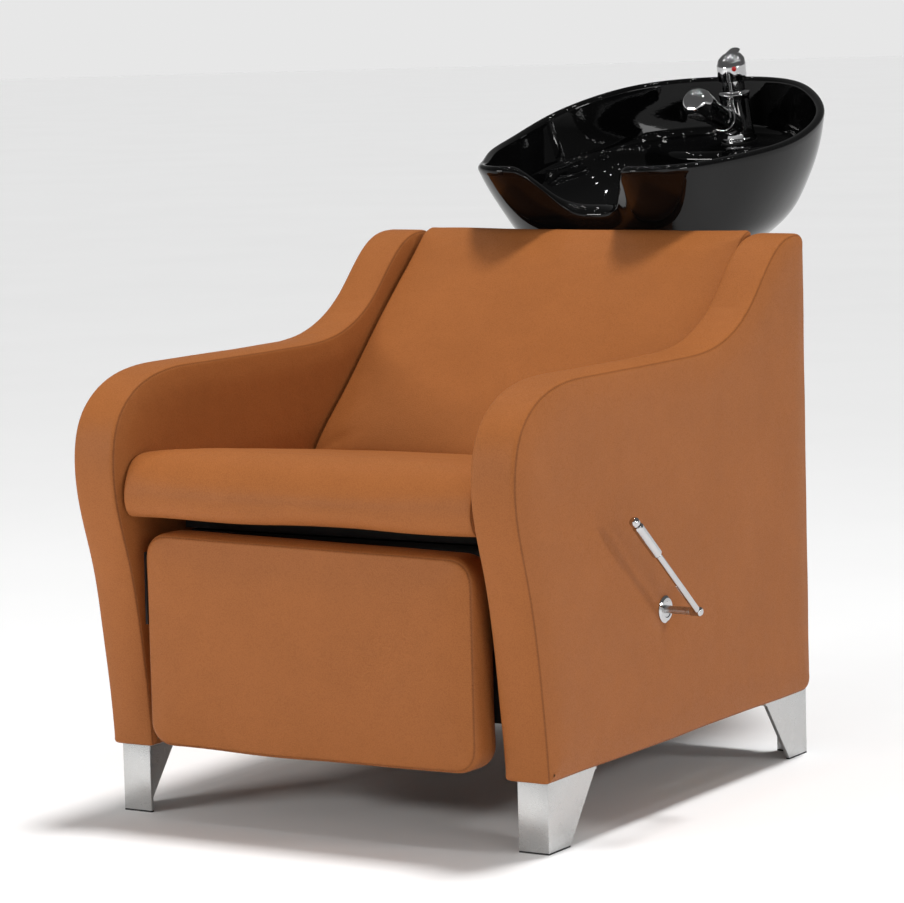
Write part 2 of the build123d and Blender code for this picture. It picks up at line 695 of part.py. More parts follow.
side_panels()
cross_rails()
seat()
backrest()
rear_cover()
legrest()
pivot_plates()
drive()
links()
lever()
feet()
bowl()
waste()
tap()
seals_and_nuts()
bowl_support()

os.makedirs("parts", exist_ok=True)
for name, solid in parts.items():
    export_step(origin_shift * solid, "parts/" + name + ".step")
print(len(parts), "sub-parts")
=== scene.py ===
import json
import math
import bmesh
import bpy
import numpy as np
from mathutils import Matrix, Vector
from mathutils.geometry import delaunay_2d_cdt
from mathutils.kdtree import KDTree

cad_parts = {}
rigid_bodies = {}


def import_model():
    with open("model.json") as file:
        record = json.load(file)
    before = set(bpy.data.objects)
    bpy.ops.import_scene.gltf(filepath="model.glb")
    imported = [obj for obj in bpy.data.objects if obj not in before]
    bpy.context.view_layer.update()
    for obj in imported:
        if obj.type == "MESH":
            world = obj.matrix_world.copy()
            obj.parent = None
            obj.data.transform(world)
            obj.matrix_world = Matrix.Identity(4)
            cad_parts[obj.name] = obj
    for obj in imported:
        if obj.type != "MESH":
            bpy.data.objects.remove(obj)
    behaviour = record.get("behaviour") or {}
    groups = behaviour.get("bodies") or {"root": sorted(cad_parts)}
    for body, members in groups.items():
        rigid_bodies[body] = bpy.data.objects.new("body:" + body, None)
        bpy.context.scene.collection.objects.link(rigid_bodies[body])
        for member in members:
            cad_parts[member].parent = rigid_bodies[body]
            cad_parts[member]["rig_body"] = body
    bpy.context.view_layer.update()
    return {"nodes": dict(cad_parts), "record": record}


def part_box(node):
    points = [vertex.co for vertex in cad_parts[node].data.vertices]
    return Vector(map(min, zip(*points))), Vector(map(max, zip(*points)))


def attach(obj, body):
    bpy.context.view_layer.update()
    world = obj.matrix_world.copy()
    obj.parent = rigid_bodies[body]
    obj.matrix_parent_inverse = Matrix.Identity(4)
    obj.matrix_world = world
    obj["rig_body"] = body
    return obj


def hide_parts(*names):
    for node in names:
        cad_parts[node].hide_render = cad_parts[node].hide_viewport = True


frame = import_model()
NODES = frame["nodes"]
MM = 0.001

# The part is drawn with X = 0 on the seat's mid-plane and Y = 0 at the front feet, in millimetres.
MID_X = (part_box("right_side_upholstery")[1].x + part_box("left_side_upholstery")[0].x) / 2
FRONT_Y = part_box("right_front_foot")[0].y


def place(points):
    """Points in the part's own millimetres, as an array in the row frame."""
    p = np.asarray(points, float).reshape(-1, 3) * MM
    return p + np.array([MID_X, FRONT_Y, 0.0])


def new_object(name, data):
    obj = bpy.data.objects.new(name, data)
    bpy.context.scene.collection.objects.link(obj)
    return obj


# ---- node materials
def new_material(name, color, roughness, metallic=0.0, **sockets):
    """A Principled material and a small helper that adds nodes to it."""
    mat = bpy.data.materials.new(name)
    mat.use_nodes = True
    tree = mat.node_tree
    shader = tree.nodes["Principled BSDF"]
    shader.inputs["Base Color"].default_value = (*color, 1)
    shader.inputs["Roughness"].default_value = roughness
    shader.inputs["Metallic"].default_value = metallic
    for key, value in sockets.items():
        shader.inputs[key.replace("_", " ")].default_value = value
    coords = tree.nodes.new("ShaderNodeTexCoord").outputs["Object"]

    def add(kind, inputs=(), **props):
        node = tree.nodes.new("ShaderNode" + kind)
        for key, value in props.items():
            setattr(node, key, value)
        for key, value in dict(inputs).items():
            socket = node.inputs[key]
            if isinstance(value, bpy.types.NodeSocket):
                tree.links.new(value, socket)
            else:
                socket.default_value = value
        return node

    def link(a, b):
        tree.links.new(a, b)

    return mat, shader, coords, add, link


def ramp(add, factor, stops):
    """A colour ramp with the given (position, grey or colour) stops."""
    node = add("ValToRGB", {"Fac": factor})
    elements = node.color_ramp.elements
    while len(elements) < len(stops):
        elements.new(0.5)
    for element, (position, value) in zip(elements, stops):
        element.position = position
        element.color = (value, value, value, 1) if isinstance(value, float) else (*value, 1)
    return node.outputs["Color"]


def noise(add, coords, scale, detail=3.0, rough=0.55, stretch=None):
    """A noise texture's factor; stretch scales the coordinates along each axis."""
    if stretch:
        coords = add("Mapping", {"Vector": coords, "Scale": stretch}).outputs["Vector"]
    node = add("TexNoise", {"Vector": coords, "Scale": scale, "Detail": detail, "Roughness": rough})
    return node.outputs["Fac"]


def maths(add, operation, a, b=0.0):
    return add("Math", {0: a, 1: b}, operation=operation).outputs["Value"]


def leather(name, color, deep):
    """Pebbled leatherette: soft mottling, fine grain, pores, and sewn seams read from the mesh, with painted
    shade in the grain's valleys and the seam grooves.
    """
    seam_width, stitch_length = 0.006, 0.0022
    mat, shader, coords, add, link = new_material(name, color, 0.5, Specular_IOR_Level=0.15)
    mottle = noise(add, coords, 7.0, 4.0, 0.6)
    cloud = noise(add, coords, 38.0, 3.0, 0.6)
    cells = add("TexVoronoi", {"Vector": coords, "Scale": 620.0, "Randomness": 1.0}, feature="SMOOTH_F1")
    cells.inputs["Smoothness"].default_value = 0.35
    pores = noise(add, coords, 1700.0, 2.0, 0.6)
    grain = maths(add, "ADD", cells.outputs["Distance"], maths(add, "MULTIPLY", pores, 0.35))
    tone = maths(add, "ADD", maths(add, "MULTIPLY", mottle, 0.62), maths(add, "MULTIPLY", cloud, 0.38))
    shade = ramp(add, tone, [(0.30, tuple(0.93 * c for c in color)), (0.55, color),
                             (0.75, tuple(min(1.0, 1.06 * c) for c in color))])
    # Painted shade: the base colour is darkened in the grain's valleys, between the pebbles.
    valley_shade = ramp(add, grain, [(0.25, 1.0), (0.95, 0.84)])
    mixed = add("MixRGB", {"Fac": 1.0, "Color1": shade, "Color2": valley_shade}, blend_type="MULTIPLY").outputs[0]
    near = add("Attribute", attribute_name="seam_d").outputs["Fac"]
    along = add("Attribute", attribute_name="seam_s").outputs["Fac"]
    groove = ramp(add, maths(add, "MULTIPLY", near, 1 / seam_width), [(0.0, 1.0), (0.12, 0.5), (0.3, 0.0)])
    # Painted shade: the colour is pulled halfway toward a dark tan along the seam grooves.
    seam_shaded = add("MixRGB", {"Fac": maths(add, "MULTIPLY", groove, 0.5), "Color1": mixed,
                                "Color2": (*deep, 1)}).outputs[0]
    link(seam_shaded, shader.inputs["Base Color"])
    stitch = maths(add, "PINGPONG", along, stitch_length)
    stitch = ramp(add, maths(add, "MULTIPLY", stitch, 1 / stitch_length), [(0.15, 0.0), (0.5, 1.0)])
    pucker = maths(add, "MULTIPLY", stitch, groove)
    rough = ramp(add, grain, [(0.2, 0.44), (1.0, 0.62)])
    link(rough, shader.inputs["Roughness"])
    soft = noise(add, coords, 16.0, 3.0, 0.5)
    wide = add("Bump", {"Strength": 0.35, "Distance": 0.004, "Height": soft})
    fine = add("Bump", {"Strength": 0.55, "Distance": 0.00035, "Height": grain,
                        "Normal": wide.outputs["Normal"]})
    sewn = add("Bump", {"Strength": 0.6, "Distance": 0.0009,
                        "Height": maths(add, "SUBTRACT", maths(add, "MULTIPLY", pucker, 0.6), groove),
                        "Normal": fine.outputs["Normal"]})
    link(sewn.outputs["Normal"], shader.inputs["Normal"])
    return mat


def glaze(name):
    """Black vitreous glaze, with the faint waviness and water marks of a used bowl."""
    mat, shader, coords, add, link = new_material(name, (0.0022, 0.0022, 0.0024), 0.06, IOR=1.5,
                                                  Specular_IOR_Level=0.24)
    marks = noise(add, coords, 22.0, 5.0, 0.65)
    link(ramp(add, marks, [(0.35, 0.02), (0.72, 0.055)]), shader.inputs["Roughness"])
    tint = ramp(add, noise(add, coords, 5.0), [(0.3, (0.0016, 0.0016, 0.0018)),
                                               (0.7, (0.0034, 0.0034, 0.0034))])
    link(tint, shader.inputs["Base Color"])
    wave = add("Bump", {"Strength": 0.10, "Distance": 0.002, "Height": noise(add, coords, 13.0, 2.0)})
    peel = add("Bump", {"Strength": 0.04, "Distance": 0.0004, "Height": noise(add, coords, 260.0, 1.0),
                        "Normal": wave.outputs["Normal"]})
    link(peel.outputs["Normal"], shader.inputs["Normal"])
    return mat


def metal(name, color, low, high, grain=None, strength=0.1, **sockets):
    """Plated or brushed metal: roughness varies with smudges, and grain stretches fine drawn lines."""
    mat, shader, coords, add, link = new_material(name, color, low, 1.0, **sockets)
    smudge = noise(add, coords, 45.0, 5.0, 0.6)
    if grain:
        lines = noise(add, coords, 260.0, 4.0, 0.7, stretch=grain)
        smudge = maths(add, "ADD", maths(add, "MULTIPLY", smudge, 0.4), maths(add, "MULTIPLY", lines, 0.6))
        tint = ramp(add, lines, [(0.3, tuple(0.86 * c for c in color)), (0.7, color)])
        link(tint, shader.inputs["Base Color"])
        height = lines
    else:
        tint = ramp(add, smudge, [(0.3, tuple(0.93 * c for c in color)), (0.7, color)])
        link(tint, shader.inputs["Base Color"])
        height = noise(add, coords, 120.0, 2.0)
    link(ramp(add, smudge, [(0.3, low), (0.75, high)]), shader.inputs["Roughness"])
    bump = add("Bump", {"Strength": strength, "Distance": 0.0003, "Height": height})
    link(bump.outputs["Normal"], shader.inputs["Normal"])
    return mat


def moulded(name, color, low, high, scale=420.0, strength=0.25, **sockets):
    """Plastic, rubber or powder coat: a fine moulded texture with slight colour variation."""
    mat, shader, coords, add, link = new_material(name, color, low, **sockets)
    cloud = noise(add, coords, 30.0, 4.0)
    link(ramp(add, cloud, [(0.3, tuple(0.85 * c for c in color)),
                           (0.7, tuple(min(1.0, 1.12 * c) for c in color))]), shader.inputs["Base Color"])
    link(ramp(add, cloud, [(0.3, low), (0.75, high)]), shader.inputs["Roughness"])
    bump = add("Bump", {"Strength": strength, "Distance": 0.0002, "Height": noise(add, coords, scale, 2.0)})
    link(bump.outputs["Normal"], shader.inputs["Normal"])
    return mat


def plywood(name, dark, mid, light):
    """Plywood: a drawn grain on the faces, with slow rings, in three tones."""
    mat, shader, coords, add, link = new_material(name, mid, 0.6)
    grain = noise(add, coords, 24.0, 6.0, 0.65, stretch=(2.0, 22.0, 22.0))
    rings = add("TexWave", {"Vector": coords, "Scale": 7.0, "Distortion": 5.0, "Detail": 3.0},
                bands_direction="Z").outputs["Fac"]
    tone = maths(add, "ADD", maths(add, "MULTIPLY", grain, 0.7), maths(add, "MULTIPLY", rings, 0.3))
    link(ramp(add, tone, [(0.25, dark), (0.5, mid), (0.8, light)]), shader.inputs["Base Color"])
    bump = add("Bump", {"Strength": 0.3, "Distance": 0.0004, "Height": grain})
    link(bump.outputs["Normal"], shader.inputs["Normal"])
    return mat


TAN = (0.370, 0.126, 0.035)
# A dark tan, painted as shade in the leather's seam grooves.
TAN_SEAM_SHADE = (0.100, 0.030, 0.010)
MATERIALS = {
    "leatherette": leather("tan_leatherette", TAN, TAN_SEAM_SHADE),
    "plywood": plywood("birch_plywood", (0.36, 0.22, 0.10), (0.52, 0.36, 0.19), (0.66, 0.49, 0.28)),
    # Near-black plywood: painted shade, which keeps the gap under the seat dark.
    "plywood_black": plywood("shade_black_plywood", (0.010, 0.009, 0.008), (0.018, 0.016, 0.014),
                             (0.030, 0.026, 0.022)),
    "steel_black": moulded("black_powder_coat", (0.02, 0.02, 0.022), 0.38, 0.5, 900.0, 0.4),
    "chrome": metal("polished_chrome", (0.56, 0.56, 0.565), 0.03, 0.10, strength=0.03),
    "brushed_steel": metal("brushed_steel", (0.58, 0.58, 0.575), 0.22, 0.38, (1.0, 1.0, 14.0), 0.12,
                           Anisotropic=0.55),
    "black_ceramic": glaze("black_glaze"),
    "rubber_black": moulded("black_rubber", (0.018, 0.018, 0.018), 0.72, 0.85, 700.0, 0.5),
    "brass": metal("turned_brass", (0.72, 0.53, 0.24), 0.18, 0.32, (1.0, 1.0, 10.0), 0.1),
    "plastic_white": moulded("white_acetal", (0.74, 0.74, 0.71), 0.35, 0.5),
    "plastic_grey": moulded("grey_polypropylene", (0.17, 0.18, 0.185), 0.4, 0.55),
    "plastic_black": moulded("black_plastic", (0.02, 0.02, 0.02), 0.25, 0.4),
    "indicator_red": moulded("red_marker", (0.52, 0.012, 0.010), 0.18, 0.28, 300.0, 0.1),
}
SLOT_OF = {s["node"]: s["material_slot"] for s in frame["record"]["subparts"]}
for node_name, node in NODES.items():
    node.data.materials.clear()
    node.data.materials.append(MATERIALS[SLOT_OF[node_name]])


# ---- curves and outlines, in millimetres
def spline_system(t, rows):
    """The matrix and right side for a spline's second derivatives at t, with natural ends."""
    n, h = len(t), np.diff(t)
    a, r = np.eye(n), np.zeros_like(rows)
    for i in range(1, n - 1):
        a[i, i - 1:i + 2] = h[i - 1], 2 * (h[i - 1] + h[i]), h[i]
        r[i] = 6 * ((rows[i + 1] - rows[i]) / h[i] - (rows[i] - rows[i - 1]) / h[i - 1])
    return h, a, r


def spline_value(x, w, g, low, high, bend, next_bend):
    """The spline in a gap g wide, w past its low end and x before its high end."""
    return (bend * x ** 3 + next_bend * w ** 3) / (6 * g) + (low / g - bend * g / 6) * x + (
        high / g - next_bend * g / 6) * w


def cubic(points, start=None, end=None, step=4.0):
    """A smooth curve through points, with natural or given end directions, sampled every step."""
    p = np.asarray(points, float)
    t = np.concatenate([[0], np.cumsum(np.linalg.norm(np.diff(p, axis=0), axis=1))])
    n = len(p)
    h, a, r = spline_system(t, p)
    for i, j, direction, sign in ((0, 1, start, 1), (n - 1, n - 2, end, -1)):
        if direction is not None:
            gap = h[0] if i == 0 else h[-1]
            unit = np.asarray(direction, float) / np.linalg.norm(direction)
            a[i, i], a[i, j] = 2 * gap, gap
            r[i] = 6 * sign * ((p[max(i, j)] - p[min(i, j)]) / gap - unit)
    m = np.linalg.solve(a, r)
    u = np.linspace(0, t[-1], max(3, int(t[-1] / step) + 1))
    k = np.clip(np.searchsorted(t, u, side="right") - 1, 0, n - 2)
    x, w, g = (t[k + 1] - u)[:, None], (u - t[k])[:, None], h[k][:, None]
    return spline_value(x, w, g, p[k], p[k + 1], m[k], m[k + 1])


def closed_cubic(points, count=720):
    """A smooth closed curve through points, sampled at count places."""
    p = np.asarray(points, float)
    extra = 4
    loop = np.concatenate([p[-extra:], p, p[:extra]])
    dense = cubic(loop, step=1.0)
    first = np.argmin(np.linalg.norm(dense[:len(dense) // 3] - p[0], axis=1))
    tail = len(dense) * 2 // 3
    last = tail + np.argmin(np.linalg.norm(dense[tail:] - p[0], axis=1))
    return resample(dense[first:last], count=count)


def resample(ring, spacing=None, count=None):
    """A closed ring with evenly spaced points."""
    ring = np.asarray(ring, float)
    loop = np.concatenate([ring, ring[:1]])
    length = np.concatenate([[0], np.cumsum(np.linalg.norm(np.diff(loop, axis=0), axis=1))])
    count = count or int(round(length[-1] / spacing))
    at = np.linspace(0, length[-1], count, endpoint=False)
    return np.stack([np.interp(at, length, loop[:, i]) for i in range(loop.shape[1])], 1)


def rounded(corners):
    """A polygon whose corners (a, b, radius) are rounded; radius 0 keeps a point as it is."""
    out = []
    n = len(corners)
    for i, (a, b, radius) in enumerate(corners):
        here = np.array([a, b], float)
        if not radius:
            out.append(here)
            continue
        before = np.array(corners[i - 1][:2], float) - here
        after = np.array(corners[(i + 1) % n][:2], float) - here
        before /= np.linalg.norm(before)
        after /= np.linalg.norm(after)
        half = math.acos(np.clip(before @ after, -1, 1)) / 2
        reach = radius / math.tan(half)
        centre = here + (before + after) / np.linalg.norm(before + after) * radius / math.sin(half)
        first = here + before * reach - centre
        last = here + after * reach - centre
        angle = math.acos(np.clip(first @ last / radius ** 2, -1, 1))
        for k in np.linspace(0, 1, 7):
            arm = (first * math.sin((1 - k) * angle) + last * math.sin(k * angle)) / math.sin(angle)
            out.append(centre + arm)
    return np.array(out)


def rectangle(left, low, right, high, radius):
    return rounded([(left, low, radius), (right, low, radius), (right, high, radius), (left, high, radius)])


def area(ring):
    """Signed area, positive for a counter-clockwise ring."""
    x, y = ring[:, 0], ring[:, 1]
    return 0.5 * float(np.sum(x * np.roll(y, -1) - y * np.roll(x, -1)))


def inward(ring):
    """Unit normals into a closed counter-clockwise ring."""
    along = np.roll(ring, -1, axis=0) - np.roll(ring, 1, axis=0)
    along /= np.linalg.norm(along, axis=1)[:, None]
    return np.stack([-along[:, 1], along[:, 0]], 1)


def fill(ring, spacing):
    """Grid points inside a ring, and triangles over the ring's points and them."""
    low, high = ring.min(0), ring.max(0)
    rows = []
    y, odd = low[1] + spacing / 2, 0
    while y < high[1]:
        xs = np.arange(low[0] + spacing / 2 + odd * spacing / 2, high[0], spacing)
        rows.append(np.stack([xs, np.full(len(xs), y)], 1))
        y += spacing * 0.866
        odd = 1 - odd
    grid = np.concatenate(rows)
    nxt = np.roll(ring, -1, axis=0)
    above = (ring[:, 1][None] > grid[:, 1][:, None]) != (nxt[:, 1][None] > grid[:, 1][:, None])
    rise = np.where(nxt[:, 1] == ring[:, 1], 1e-9, nxt[:, 1] - ring[:, 1])
    height = grid[:, 1][:, None] - ring[:, 1][None]
    cut = (nxt[:, 0] - ring[:, 0])[None] * height / rise[None] + ring[:, 0][None]
    inside = (above & (grid[:, 0][:, None] < cut)).sum(1) % 2 == 1
    grid = grid[inside]
    gap = np.min(np.linalg.norm(grid[:, None] - ring[None], axis=2), axis=1)
    grid = grid[gap > 0.6 * spacing]
    points = np.concatenate([ring, grid])
    edges = [(i, (i + 1) % len(ring)) for i in range(len(ring))]
    found = delaunay_2d_cdt([Vector(p) for p in points], edges, [], 1, 1e-6)
    source = [ids[0] if ids else -1 for ids in found[3]]
    faces = [tuple(source[i] for i in f) for f in found[2]]
    return grid, [f for f in faces if -1 not in f]


# ---- pads
# A pad's edge rolls from its face to its side through these angles, with the seam at one of them.
ROLL = (90, 70, 52, 46, 40, 22, 0)
SEAM_STEP = 3


def pad(name, outline, half, radius, spacing, across, to_frame, fill_spacing=None):
    """A closed pad: an outline (a, b) run across c from -half to half, with rolled edges and two seams."""
    ring = resample(outline, spacing)
    if area(ring) < 0:
        ring = ring[::-1]
    into = inward(ring)
    steps = []
    for degrees in ROLL:
        a = math.radians(degrees)
        steps.append((-(half - radius) - radius * math.sin(a), radius * (1 - math.cos(a))))
    for c in np.linspace(-(half - radius), half - radius, across + 1)[1:-1]:
        steps.append((c, 0.0))
    steps += [(-c, inset) for c, inset in reversed(steps[:len(ROLL)])]
    count = len(ring)
    points, faces = [], []
    for c, inset in steps:
        moved = ring + into * inset
        points += [(a, b, c) for a, b in moved]
    for r in range(len(steps) - 1):
        for i in range(count):
            j = (i + 1) % count
            faces.append((r * count + i, r * count + j, (r + 1) * count + j, (r + 1) * count + i))
    for level, start, flip in ((0, 0, True), (-1, (len(steps) - 1) * count, False)):
        c, inset = steps[level]
        grid, triangles = fill(ring + into * inset, fill_spacing or spacing)
        base = len(points)
        points += [(a, b, c) for a, b in grid]
        for f in triangles:
            ids = tuple(start + i if i < count else base + i - count for i in f)
            faces.append(ids[::-1] if flip else ids)
    mesh = bpy.data.meshes.new(name)
    mesh.from_pydata([tuple(p) for p in place([to_frame(*q) for q in points])], [], faces)
    mesh.validate()
    obj = new_object(name, mesh)
    tidy_normals(obj)
    seams = []
    for r in (SEAM_STEP, len(steps) - 1 - SEAM_STEP):
        seams.append(list(range(r * count, (r + 1) * count)))
    return obj, np.array(points, float), seams, ring


def tidy_normals(obj):
    """Faces all point outward."""
    bm = bmesh.new()
    bm.from_mesh(obj.data)
    bmesh.ops.recalc_face_normals(bm, faces=bm.faces)
    bm.to_mesh(obj.data)
    bm.free()


def vectors_of(obj, key):
    """The mesh's points or normals, as an array of vectors."""
    out = np.zeros(len(obj.data.vertices) * 3)
    obj.data.vertices.foreach_get(key, out)
    return out.reshape(-1, 3)


def coords_of(obj):
    return vectors_of(obj, "co")


def set_coords(obj, points):
    obj.data.vertices.foreach_set("co", np.asarray(points, float).ravel())
    obj.data.update()


def inflate(obj, pinned, cap, pressure=4.0, frames=20, bending=0.6):
    """Swells a pad as a pressurised cloth, held along its seams, and keeps each point within cap."""
    rest = coords_of(obj)
    group = obj.vertex_groups.new(name="held")
    group.add([int(i) for i in pinned], 1.0, "REPLACE")
    cloth = obj.modifiers.new("Cloth", "CLOTH")
    cloth.settings.quality = 4
    cloth.settings.mass = 0.25
    cloth.settings.tension_stiffness = 12
    cloth.settings.compression_stiffness = 12
    cloth.settings.shear_stiffness = 8
    cloth.settings.bending_stiffness = bending
    cloth.settings.use_pressure = True
    cloth.settings.uniform_pressure_force = pressure
    cloth.settings.vertex_group_mass = "held"
    cloth.settings.effector_weights.gravity = 0
    cloth.collision_settings.use_collision = False
    cloth.point_cache.frame_start = 1
    cloth.point_cache.frame_end = frames
    scene = bpy.context.scene
    for f in range(1, frames + 1):
        scene.frame_set(f)
    moved = coords_of(obj.evaluated_get(bpy.context.evaluated_depsgraph_get())) - rest
    length = np.linalg.norm(moved, axis=1)
    most = np.broadcast_to(np.asarray(cap, float) * MM, length.shape)
    capped = most * np.tanh(length / np.maximum(most, 1e-6))
    share = np.where(length > 1e-9, capped / np.maximum(length, 1e-9), 1.0)
    obj.modifiers.remove(cloth)
    obj.vertex_groups.remove(group)
    set_coords(obj, rest + moved * share[:, None])
    scene.frame_set(1)


def seam_marks(obj, seams, ring):
    """Stores each point's distance to the nearest seam, and how far along it that is, for the material."""
    co = coords_of(obj)
    tree = KDTree(sum(len(s) for s in seams))
    run = np.concatenate([[0], np.cumsum(np.linalg.norm(np.diff(ring, axis=0), axis=1))]) * MM
    order = []
    for s in seams:
        for k, i in enumerate(s):
            tree.insert(co[i], len(order))
            order.append(run[k])
    tree.balance()
    near, along = np.zeros(len(co), np.float32), np.zeros(len(co), np.float32)
    for i, p in enumerate(co):
        _, k, gap = tree.find(p)
        near[i], along[i] = gap, order[k]
    for key, values in (("seam_d", near), ("seam_s", along)):
        attribute = obj.data.attributes.new(key, "FLOAT", "POINT")
        attribute.data.foreach_set("value", values)


def sink_seams(obj, seams, depth):
    """Pulls the seam rings into the pad, which makes the sewn groove."""
    co, normals = coords_of(obj), vectors_of(obj, "normal")
    for s in seams:
        co[s] -= normals[s] * depth * MM
    set_coords(obj, co)


def smooth_shading(obj):
    obj.data.polygons.foreach_set("use_smooth", [True] * len(obj.data.polygons))


def apply_modifier(obj, modifier):
    """Makes the modifier's result the object's mesh."""
    dg = bpy.context.evaluated_depsgraph_get()
    mesh = bpy.data.meshes.new_from_object(obj.evaluated_get(dg))
    obj.modifiers.remove(modifier)
    old = obj.data
    obj.data = mesh
    bpy.data.meshes.remove(old)


def subdivide(obj):
    apply_modifier(obj, obj.modifiers.new("Subdivision", "SUBSURF"))
    smooth_shading(obj)


def finish_pad(obj, seams, ring, body, node, groove=0.6):
    """Sinks the seams, adds leather and a last subdivision, and puts the pad in its node's place."""
    sink_seams(obj, seams, groove)
    seam_marks(obj, seams, ring)
    obj.data.materials.append(MATERIALS["leatherette"])
    subdivide(obj)
    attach(obj, body)
    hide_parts(node)


def wobble(points, seed, size):
    """Slow, seeded unevenness for hand-pulled upholstery, as one value per point in millimetres."""
    rng = np.random.default_rng(seed)
    total, waves = np.zeros(len(points)), 7
    for _ in range(waves):
        direction = rng.normal(size=3)
        direction /= np.linalg.norm(direction)
        wave = rng.uniform(90, 260)
        total += np.sin(points @ direction * 2 * math.pi / wave + rng.uniform(0, 6.28))
    return total * size / waves ** 0.5


def roughen(obj, points, seed, size):
    """Moves a pad's skin by a slow unevenness along its normals."""
    shift = wobble(points, seed, size)[:, None] * MM
    set_coords(obj, coords_of(obj) + vectors_of(obj, "normal") * shift)


# ---- side panels
PANEL = {"bottom": 88.0, "top": 705.0, "front": -74.0, "rear": 695.0, "arm": 571.0,
         "inner": 259.0, "outer": 325.0}
# The hand lever's axle, in the panel's plane, and the radius of its wall plate.
DRIVE = (284.0, 258.0)
ESCUTCHEON = 17.5


def panel_outline():
    low, high, front, rear, arm = (PANEL[k] for k in ("bottom", "top", "front", "rear", "arm"))
    parts = [
        cubic([(-10, low), (-23, 204), (-47, 330), (front, 449)], start=(-0.06, 1), end=(0, 1)),
        cubic([(front, 449), (-58, 515), (-18, 550), (38, 567), (98, arm)], start=(0, 1), end=(1, 0))[1:],
        cubic([(98, arm), (353, arm)])[1:],
        cubic([(353, arm), (456, 581), (534, 619), (597, 677), (640, 701), (672, high)],
              start=(1, 0), end=(1, 0))[1:],
        rounded([(672, high, 0), (rear, high, 14), (rear, low, 18), (-10, low, 0)])[1:-1],
    ]
    return np.concatenate(parts)


def side_panel():
    half = (PANEL["outer"] - PANEL["inner"]) / 2
    middle = (PANEL["outer"] + PANEL["inner"]) / 2
    obj, points, seams, ring = pad(
        "right_side_panel", panel_outline(), half, 9.0, 7.0, 6,
        lambda a, b, c: (middle + c, a, b), 9.5)
    held = set(seams[0]) | set(seams[1])
    gap = np.hypot(points[:, 0] - DRIVE[0], points[:, 1] - DRIVE[1])
    held |= set(np.nonzero((gap < ESCUTCHEON + 4) & (np.abs(points[:, 2]) > half - 1))[0])
    held |= set(np.nonzero(points[:, 1] < PANEL["bottom"] + 1)[0])
    # The outer face swells a little more than the inner one, and the band between the seams the most.
    cap = np.full(len(points), 3.2)
    cap[points[:, 2] < 0] = 2.0
    band = np.abs(points[:, 2]) < half - 9.5
    cap[band] = 4.5
    inflate(obj, held, cap)
    roughen(obj, points, 11, 0.35)
    return obj, seams, ring


right_panel, panel_seams, panel_ring = side_panel()
left_panel = new_object("left_side_panel", right_panel.data.copy())
mirrored = coords_of(left_panel)
mirrored[:, 0] = 2 * MID_X - mirrored[:, 0]
set_coords(left_panel, mirrored)
left_panel.data.flip_normals()
finish_pad(right_panel, panel_seams, panel_ring, "chair", "right_side_upholstery")
finish_pad(left_panel, panel_seams, panel_ring, "chair", "left_side_upholstery")


# ---- seat
def seat():
    high, slope, depth, thick = 467.0, 0.121, 445.0, 78.0
    lip_y, lip_z = -48.0, 389.0
    rear = high - slope * depth
    nose = cubic([(lip_y, lip_z), (-61, 404), (-60, 432), (-42, 461), (0, high)],
                 start=(-1, 0.1), end=(1, -slope))
    rest = rounded([(0, high, 0), (depth, rear, 14), (depth, rear - thick, 10), (lip_y, lip_z, 0)])[1:-1]
    obj, points, seams, ring = pad(
        "seat_cushion_pad", np.concatenate([nose, rest]), 256.5, 5.0, 9.0, 48,
        lambda a, b, c: (c, a, b), 11.0)
    under = lip_z + (rear - thick - lip_z) / (depth - lip_y) * (points[:, 0] - lip_y)
    held = set(seams[0]) | set(seams[1]) | set(np.nonzero(points[:, 1] < under + 3)[0])
    cap = np.full(len(points), 9.0)
    cap[points[:, 0] < 20] = 6.0
    cap[np.abs(points[:, 2]) > 255] = 1.0
    inflate(obj, held, cap)
    co = coords_of(obj)
    # The cover is pulled under the front edge by hand, so that edge isn't straight.
    edge = np.exp(-((points[:, 0] + 56) / 26) ** 2 - ((points[:, 1] - 396) / 20) ** 2)
    pull = 2.0 * np.sin(points[:, 2] / 41.0 + 0.6) + 1.6 * np.sin(points[:, 2] / 87.0 + 1.1)
    co[:, 2] += edge * pull * MM
    set_coords(obj, co)
    roughen(obj, points, 23, 0.6)
    finish_pad(obj, seams, ring, "chair", "seat_cushion")


seat()


# ---- backrest
def backrest():
    # The front face rises from (y0, z0) at this slope; run and rise are its unit direction.
    y0, z0, slope, thick = 361.0, 423.0, 0.9, 62.0
    run, rise = 0.743, 0.669
    top, back = PANEL["top"], 684.0
    rear_y, rear_z = y0 + rise * thick, z0 - run * thick
    foot = 446.0
    front = cubic([(355, 414), (362, 424.5), (411, 475), (461, 521), (541, 598), (627, 676), (648, 695),
                   (664, 706), (680, 709)])
    rest = rounded([(680, 709, 0), (back, top - 6, 0), (back, rear_z + slope * (back - rear_y), 8),
                    (foot, rear_z + slope * (foot - rear_y), 8), (355, 414, 0)])[1:-1]
    obj, points, seams, ring = pad(
        "back_cushion_pad", np.concatenate([front[::-1], rest[::-1]]), 253.0, 7.0, 9.0, 48,
        lambda a, b, c: (c, a, b), 11.0)
    behind = points[:, 1] - (z0 + slope * (points[:, 0] - y0))
    facing = (behind > -14) & (points[:, 0] < 672)
    held = set(seams[0]) | set(seams[1]) | set(np.nonzero(~facing)[0])
    cap = np.full(len(points), 5.0)
    cap[points[:, 1] > top - 20] = 2.0
    cap[np.abs(points[:, 2]) > 251] = 1.0
    inflate(obj, held, cap)
    roughen(obj, points, 31, 0.6)
    finish_pad(obj, seams, ring, "chair", "back_cushion")


backrest()


